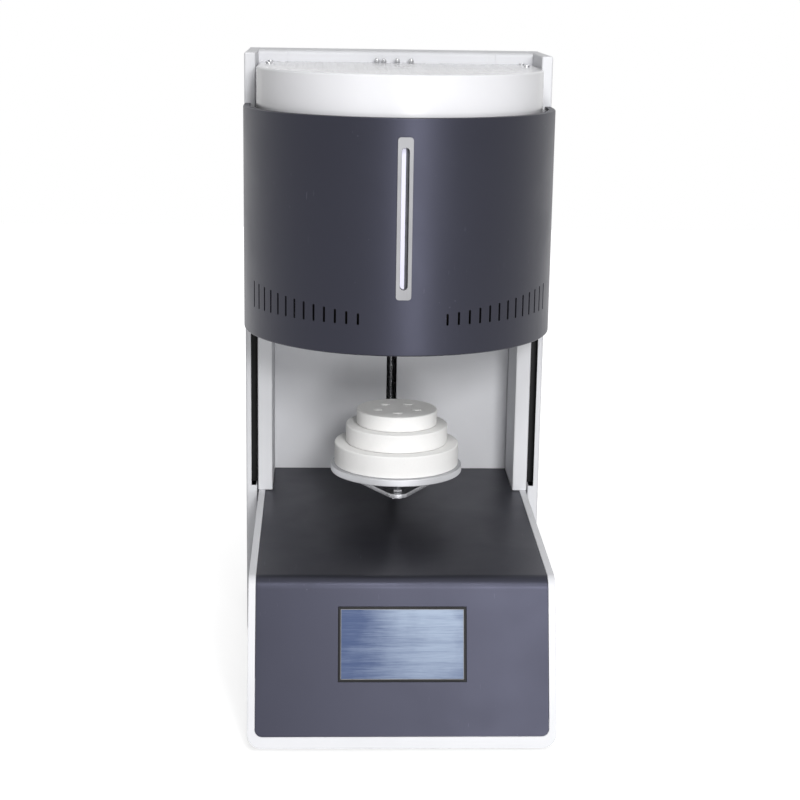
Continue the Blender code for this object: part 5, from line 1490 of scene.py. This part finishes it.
class FURNACE_OT_lift(FurnaceOperator, bpy.types.Operator):
    """Lift: plate, bearing blocks, rods, carriage, motor, coupling and the threaded screw"""

    bl_idname = "furnace.lift"
    bl_label = "Lift"

    # The screw's core as a share of its radius
    CORE_SHARE = 0.78
    # Where a ridge's crest starts and ends, as shares of the pitch
    CREST = (0.3, 0.6)
    SHAFT_EDGE = 0.3 * MILLIMETRE
    ROWS = (
        ("carriage", 0.6),
        ("lower_bearing_block", 0.5),
        ("upper_bearing_block", 0.5),
        ("guide_rod_left", 0.4),
        ("guide_rod_right", 0.4),
        ("motor_coupling", 0.3),
        ("lift_motor", 0.6),
        ("lift_plate", 0.5),
    )

    def make(self, given):
        """Rounds the lift's pieces and threads the screw."""
        rounded_copies(self.ROWS)
        low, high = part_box("lead_screw")
        centre = axis_of(low, high)
        radius = (high.x - low.x) / 2
        core = radius * self.CORE_SHARE
        start = low.z + given.shoulder_rise
        end = high.z - given.shoulder_inset
        journal = given.journal_radius
        profile = [(0, low.z), (journal, low.z), (journal, start), (core, start)]
        profile += [(core, end), (journal, end), (journal, high.z), (0, high.z)]
        shaft = turned("lead_screw_threaded", profile, centre, 32)
        round_edges(shaft, self.SHAFT_EDGE)
        thread = self.thread(given, core, radius, start, end)
        thread.location = (*centre, 0)
        settle(thread)
        shaft = joined(shaft, thread)
        smooth(shaft)
        install(shaft, "lead_screw")

    def thread(self, given, core, radius, start, end):
        """The thread's ridges, screwed round the axis."""
        turns = int((end - start) / given.lead) - 1
        pitch = given.lead / given.thread_starts
        inner = core - given.gap
        line = []
        for index in range(given.thread_starts):
            foot = start + index * pitch
            line.append((inner, 0, foot))
            line += [(radius, 0, foot + pitch * share) for share in self.CREST]
        line.append((inner, 0, start + given.lead))
        piece = drawn("thread", line)
        modify(
            piece,
            "SCREW",
            axis="Z",
            angle=FULL_TURN,
            screw_offset=given.lead,
            iterations=turns,
            steps=24,
            render_steps=24,
            use_merge_vertices=True,
            merge_threshold=MERGE,
        )
        outwards(piece)
        return piece


class FURNACE_OT_chamber(FurnaceOperator, bpy.types.Operator):
    """Chamber: insulation, casing, heating rods, probe, bottom plate and frame"""

    bl_idname = "furnace.chamber"
    bl_label = "Chamber"

    ROWS = (
        ("head_bottom_plate", 0.4),
        # The frame and the casing take the dark steel, painted shade for the head's inside seen through the
        # vents
        ("head_frame", 0.6, "tinted_steel"),
        ("chamber_casing", 0.2, "tinted_steel"),
        ("insulation_ring", 1.0),
        ("insulation_lid", 1.0),
        ("thermocouple", 0.3),
    )

    def make(self, given):
        """Rounds the chamber's pieces, and shades the heating rods smooth."""
        rods = [(f"heating_element_{index}", 0) for index in range(1, 5)]
        rounded_copies([*self.ROWS, *rods])


class FURNACE_OT_electrics(FurnaceOperator, bpy.types.Operator):
    """Electrics: transformer, power controller, board, fan, inlet and switch"""

    bl_idname = "furnace.electrics"
    bl_label = "Electrics"

    ROWS = (
        ("transformer_core", 0.4),
        ("transformer_coil", 2.5),
        ("power_controller", 0.3),
        ("control_board", 0.2),
        ("fan_housing", 0.5),
        ("fan_rotor", 0.3),
        ("switch_frame", 0.6),
        ("switch_rocker", 0.5),
    )

    def make(self, given):
        """Rounds the electrical pieces, and gives the inlet its metal pins."""
        rounded_copies(self.ROWS)
        piece = rounded_copy("power_inlet", 0.5)
        piece.data.materials.append(finish_of("bright_steel"))
        low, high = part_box("power_inlet")
        centre = (low + high) / 2
        # The pins lie in the middle half of the width and third of the height, inside the well
        reach_x = (high.x - low.x) / 4
        reach_z = (high.z - low.z) / 6
        floor = low.y + (high.y - low.y) / 4
        front = high.y - (high.y - low.y) / 8
        for face in piece.data.polygons:
            spot = face.center - centre
            inside = abs(spot.x) < reach_x and abs(spot.z) < reach_z
            if inside and floor < face.center.y < front:
                face.material_index = 1


class FURNACE_OT_case_screws(FurnaceOperator, bpy.types.Operator):
    """Case screws: the pan heads that hold the rear cover"""

    bl_idname = "furnace.case_screws"
    bl_label = "Case screws"

    INSET = 0.008
    ROWS = 6

    def make(self, given):
        """Sets a row of screws along each side of the rear cover."""
        low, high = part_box("rear_cover")
        one = pan_screw(given)
        turn = Matrix.Rotation(-QUARTER_TURN, 4, "X")
        run = high.z - low.z - 2 * self.INSET
        for name, side in SIDES:
            for row in range(self.ROWS):
                z = low.z + self.INSET + run * row / (self.ROWS - 1)
                spot = (side * (high.x - self.INSET), high.y, z)
                screw = placed_copy(one, f"rear_screw_{name}_{row + 1}", Matrix.Translation(spot) @ turn)
                install(screw, "rear_cover", "bright_steel", False)
        bpy.data.objects.remove(one, do_unlink=True)


class FURNACE_OT_studio(FurnaceOperator, bpy.types.Operator):
    """Studio: camera, white background, pale floor and soft light"""

    bl_idname = "furnace.studio"
    bl_label = "Studio"

    AIM = Vector((0, 0, 0.45))
    # Each softbox's name, its place and its two sides
    SOFTBOXES = (
        ("front", (0.45, -2.45, 1.40), (0.5, 0.5)),
        ("low", (0.40, -2.45, 0.32), (0.6, 0.5)),
        ("key", (0.12, -1.60, 2.05), (0.7, 0.4)),
        ("top", (-0.2, -0.2, 2.6), (1.0, 1.0)),
    )

    def make(self, given):
        """Sets the camera, the background, the floor and the lamps."""
        studio = bpy.context.scene.furnace_studio
        self.camera(studio)
        self.background(studio)
        self.floor(studio)
        for name, place, size in self.SOFTBOXES:
            self.lamp(f"{name}_softbox", place, size, getattr(studio, f"{name}_power"))
        bpy.context.scene.view_settings.view_transform = "Standard"

    def camera(self, studio):
        """Camera at the photograph's angle."""
        yaw, pitch, roll = studio.camera_yaw, studio.camera_pitch, studio.camera_roll
        right = Vector((math.cos(yaw), -math.sin(yaw), 0))
        ahead = Vector((math.sin(yaw) * math.cos(pitch), math.cos(yaw) * math.cos(pitch), -math.sin(pitch)))
        up = right.cross(ahead)
        across = right * math.cos(roll) + up * math.sin(roll)
        upward = up * math.cos(roll) - right * math.sin(roll)
        lens = bpy.data.cameras.new("camera")
        lens.sensor_width = SENSOR_WIDTH
        lens.lens = studio.focal_pixels * SENSOR_WIDTH / IMAGE_WIDTH
        lens.shift_x = studio.shift_pixels[0] / IMAGE_WIDTH
        lens.shift_y = studio.shift_pixels[1] / IMAGE_WIDTH
        holder = bpy.data.objects.new("camera", lens)
        bpy.context.scene.collection.objects.link(holder)
        matrix = Matrix((across, upward, -ahead)).transposed().to_4x4()
        matrix.translation = studio.camera_place
        holder.matrix_world = matrix
        bpy.context.scene.camera = holder

    def seen_rays(self, tree):
        """One for the rays that see the background: straight, mirrored or through glass."""
        path = add_node(tree, "ShaderNodeLightPath").outputs
        seen = maths(tree, "MAXIMUM", path["Is Camera Ray"], path["Is Glossy Ray"])
        return maths(tree, "MAXIMUM", seen, path["Is Transmission Ray"])

    def background(self, studio):
        """White background, with even light of its own strength on the object."""
        world = bpy.data.worlds.new("studio")
        bpy.context.scene.world = world
        world.use_nodes = True
        tree = world.node_tree
        tree.nodes.clear()
        even = add_node(tree, "ShaderNodeBackground", {"Color": (1, 1, 1, 1), "Strength": studio.ambient})
        white = add_node(tree, "ShaderNodeBackground", {"Color": (1, 1, 1, 1), "Strength": 1.0})
        inputs = {0: self.seen_rays(tree), 1: even.outputs[0], 2: white.outputs[0]}
        mixed = add_node(tree, "ShaderNodeMixShader", inputs)
        add_node(tree, "ShaderNodeOutputWorld", {"Surface": mixed.outputs[0]})

    def floor(self, studio):
        """Pale floor that keeps the shadow near the object and fades to the background."""
        deselect()
        bpy.ops.mesh.primitive_grid_add(x_subdivisions=8, y_subdivisions=8, size=studio.floor_size)
        floor = bpy.context.active_object
        floor.name = "floor"
        material = bpy.data.materials.new("pale_floor")
        material.use_nodes = True
        tree = material.node_tree
        shader = tree.nodes["Principled BSDF"]
        place = add_node(tree, "ShaderNodeTexCoord").outputs["Object"]
        tone = map_range(tree, noise(tree, place, 3.0), 0.3, 0.7, 0.58, 0.62)
        both = add_node(tree, "ShaderNodeCombineColor", {0: tone, 1: tone, 2: tone})
        tree.links.new(both.outputs[0], shader.inputs["Base Color"])
        shader.inputs["Roughness"].default_value = 0.9
        reach = add_node(tree, "ShaderNodeVectorMath", {0: place}, operation="LENGTH").outputs["Value"]
        far = map_range(tree, reach, 0.30, 1.3, 0.72, 1.0)
        strength = maths(tree, "MULTIPLY", far, self.seen_rays(tree))
        white = add_node(tree, "ShaderNodeEmission", {"Color": (1, 1, 1, 1), "Strength": strength})
        mixed = add_node(tree, "ShaderNodeAddShader", {0: shader.outputs[0], 1: white.outputs[0]})
        tree.links.new(mixed.outputs[0], tree.nodes["Material Output"].inputs["Surface"])
        floor.data.materials.append(material)

    def lamp(self, name, place, size, power):
        """A soft lamp that faces the object and isn't seen itself."""
        light = bpy.data.lights.new(name, "AREA")
        light.shape = "RECTANGLE"
        light.size, light.size_y = size
        light.energy = power
        holder = bpy.data.objects.new(name, light)
        bpy.context.scene.collection.objects.link(holder)
        holder.location = place
        holder.rotation_euler = (self.AIM - Vector(place)).to_track_quat("-Z", "Y").to_euler()
        holder.visible_camera = False


OPERATORS = (
    FURNACE_OT_studio,
    FURNACE_OT_base,
    FURNACE_OT_front_panel,
    FURNACE_OT_touch_screen,
    FURNACE_OT_column,
    FURNACE_OT_head_cover,
    FURNACE_OT_cover_trim,
    FURNACE_OT_head_cap,
    FURNACE_OT_plug,
    FURNACE_OT_stage_metal,
    FURNACE_OT_lift,
    FURNACE_OT_chamber,
    FURNACE_OT_electrics,
    FURNACE_OT_case_screws,
)


class FURNACE_PT_panel(bpy.types.Panel):
    """Lists the furnace's sizes, colours and pieces"""

    bl_idname = "FURNACE_PT_panel"
    bl_label = "Sintering furnace"
    bl_space_type = "VIEW_3D"
    bl_region_type = "UI"
    bl_category = "Furnace"

    def draw(self, context):
        """Draws a button for each operator, then the values."""
        for operator in OPERATORS:
            self.layout.operator(operator.bl_idname, text=operator.bl_label)
        scene = context.scene
        for group in (scene.furnace_sizes, scene.furnace_colours, scene.furnace_studio):
            column = self.layout.column(align=True)
            for name in group.__annotations__:
                column.prop(group, name)


GROUPS = {
    "furnace_sizes": FurnaceSizes,
    "furnace_colours": FurnaceColours,
    "furnace_studio": FurnaceStudio,
}
CLASSES = (*GROUPS.values(), *OPERATORS, FURNACE_PT_panel)


def register():
    """Registers the classes and the scene's values."""
    for item in CLASSES:
        bpy.utils.register_class(item)
    for name, group in GROUPS.items():
        setattr(bpy.types.Scene, name, PointerProperty(type=group))


def unregister():
    """Takes the classes and the scene's values away again."""
    for name in GROUPS:
        delattr(bpy.types.Scene, name)
    for item in reversed(CLASSES):
        bpy.utils.unregister_class(item)


def main():
    """Makes every piece."""
    register()
    for operator in OPERATORS:
        getattr(bpy.ops.furnace, operator.bl_idname.split(".")[1])()


if __name__ == "__main__":
    main()
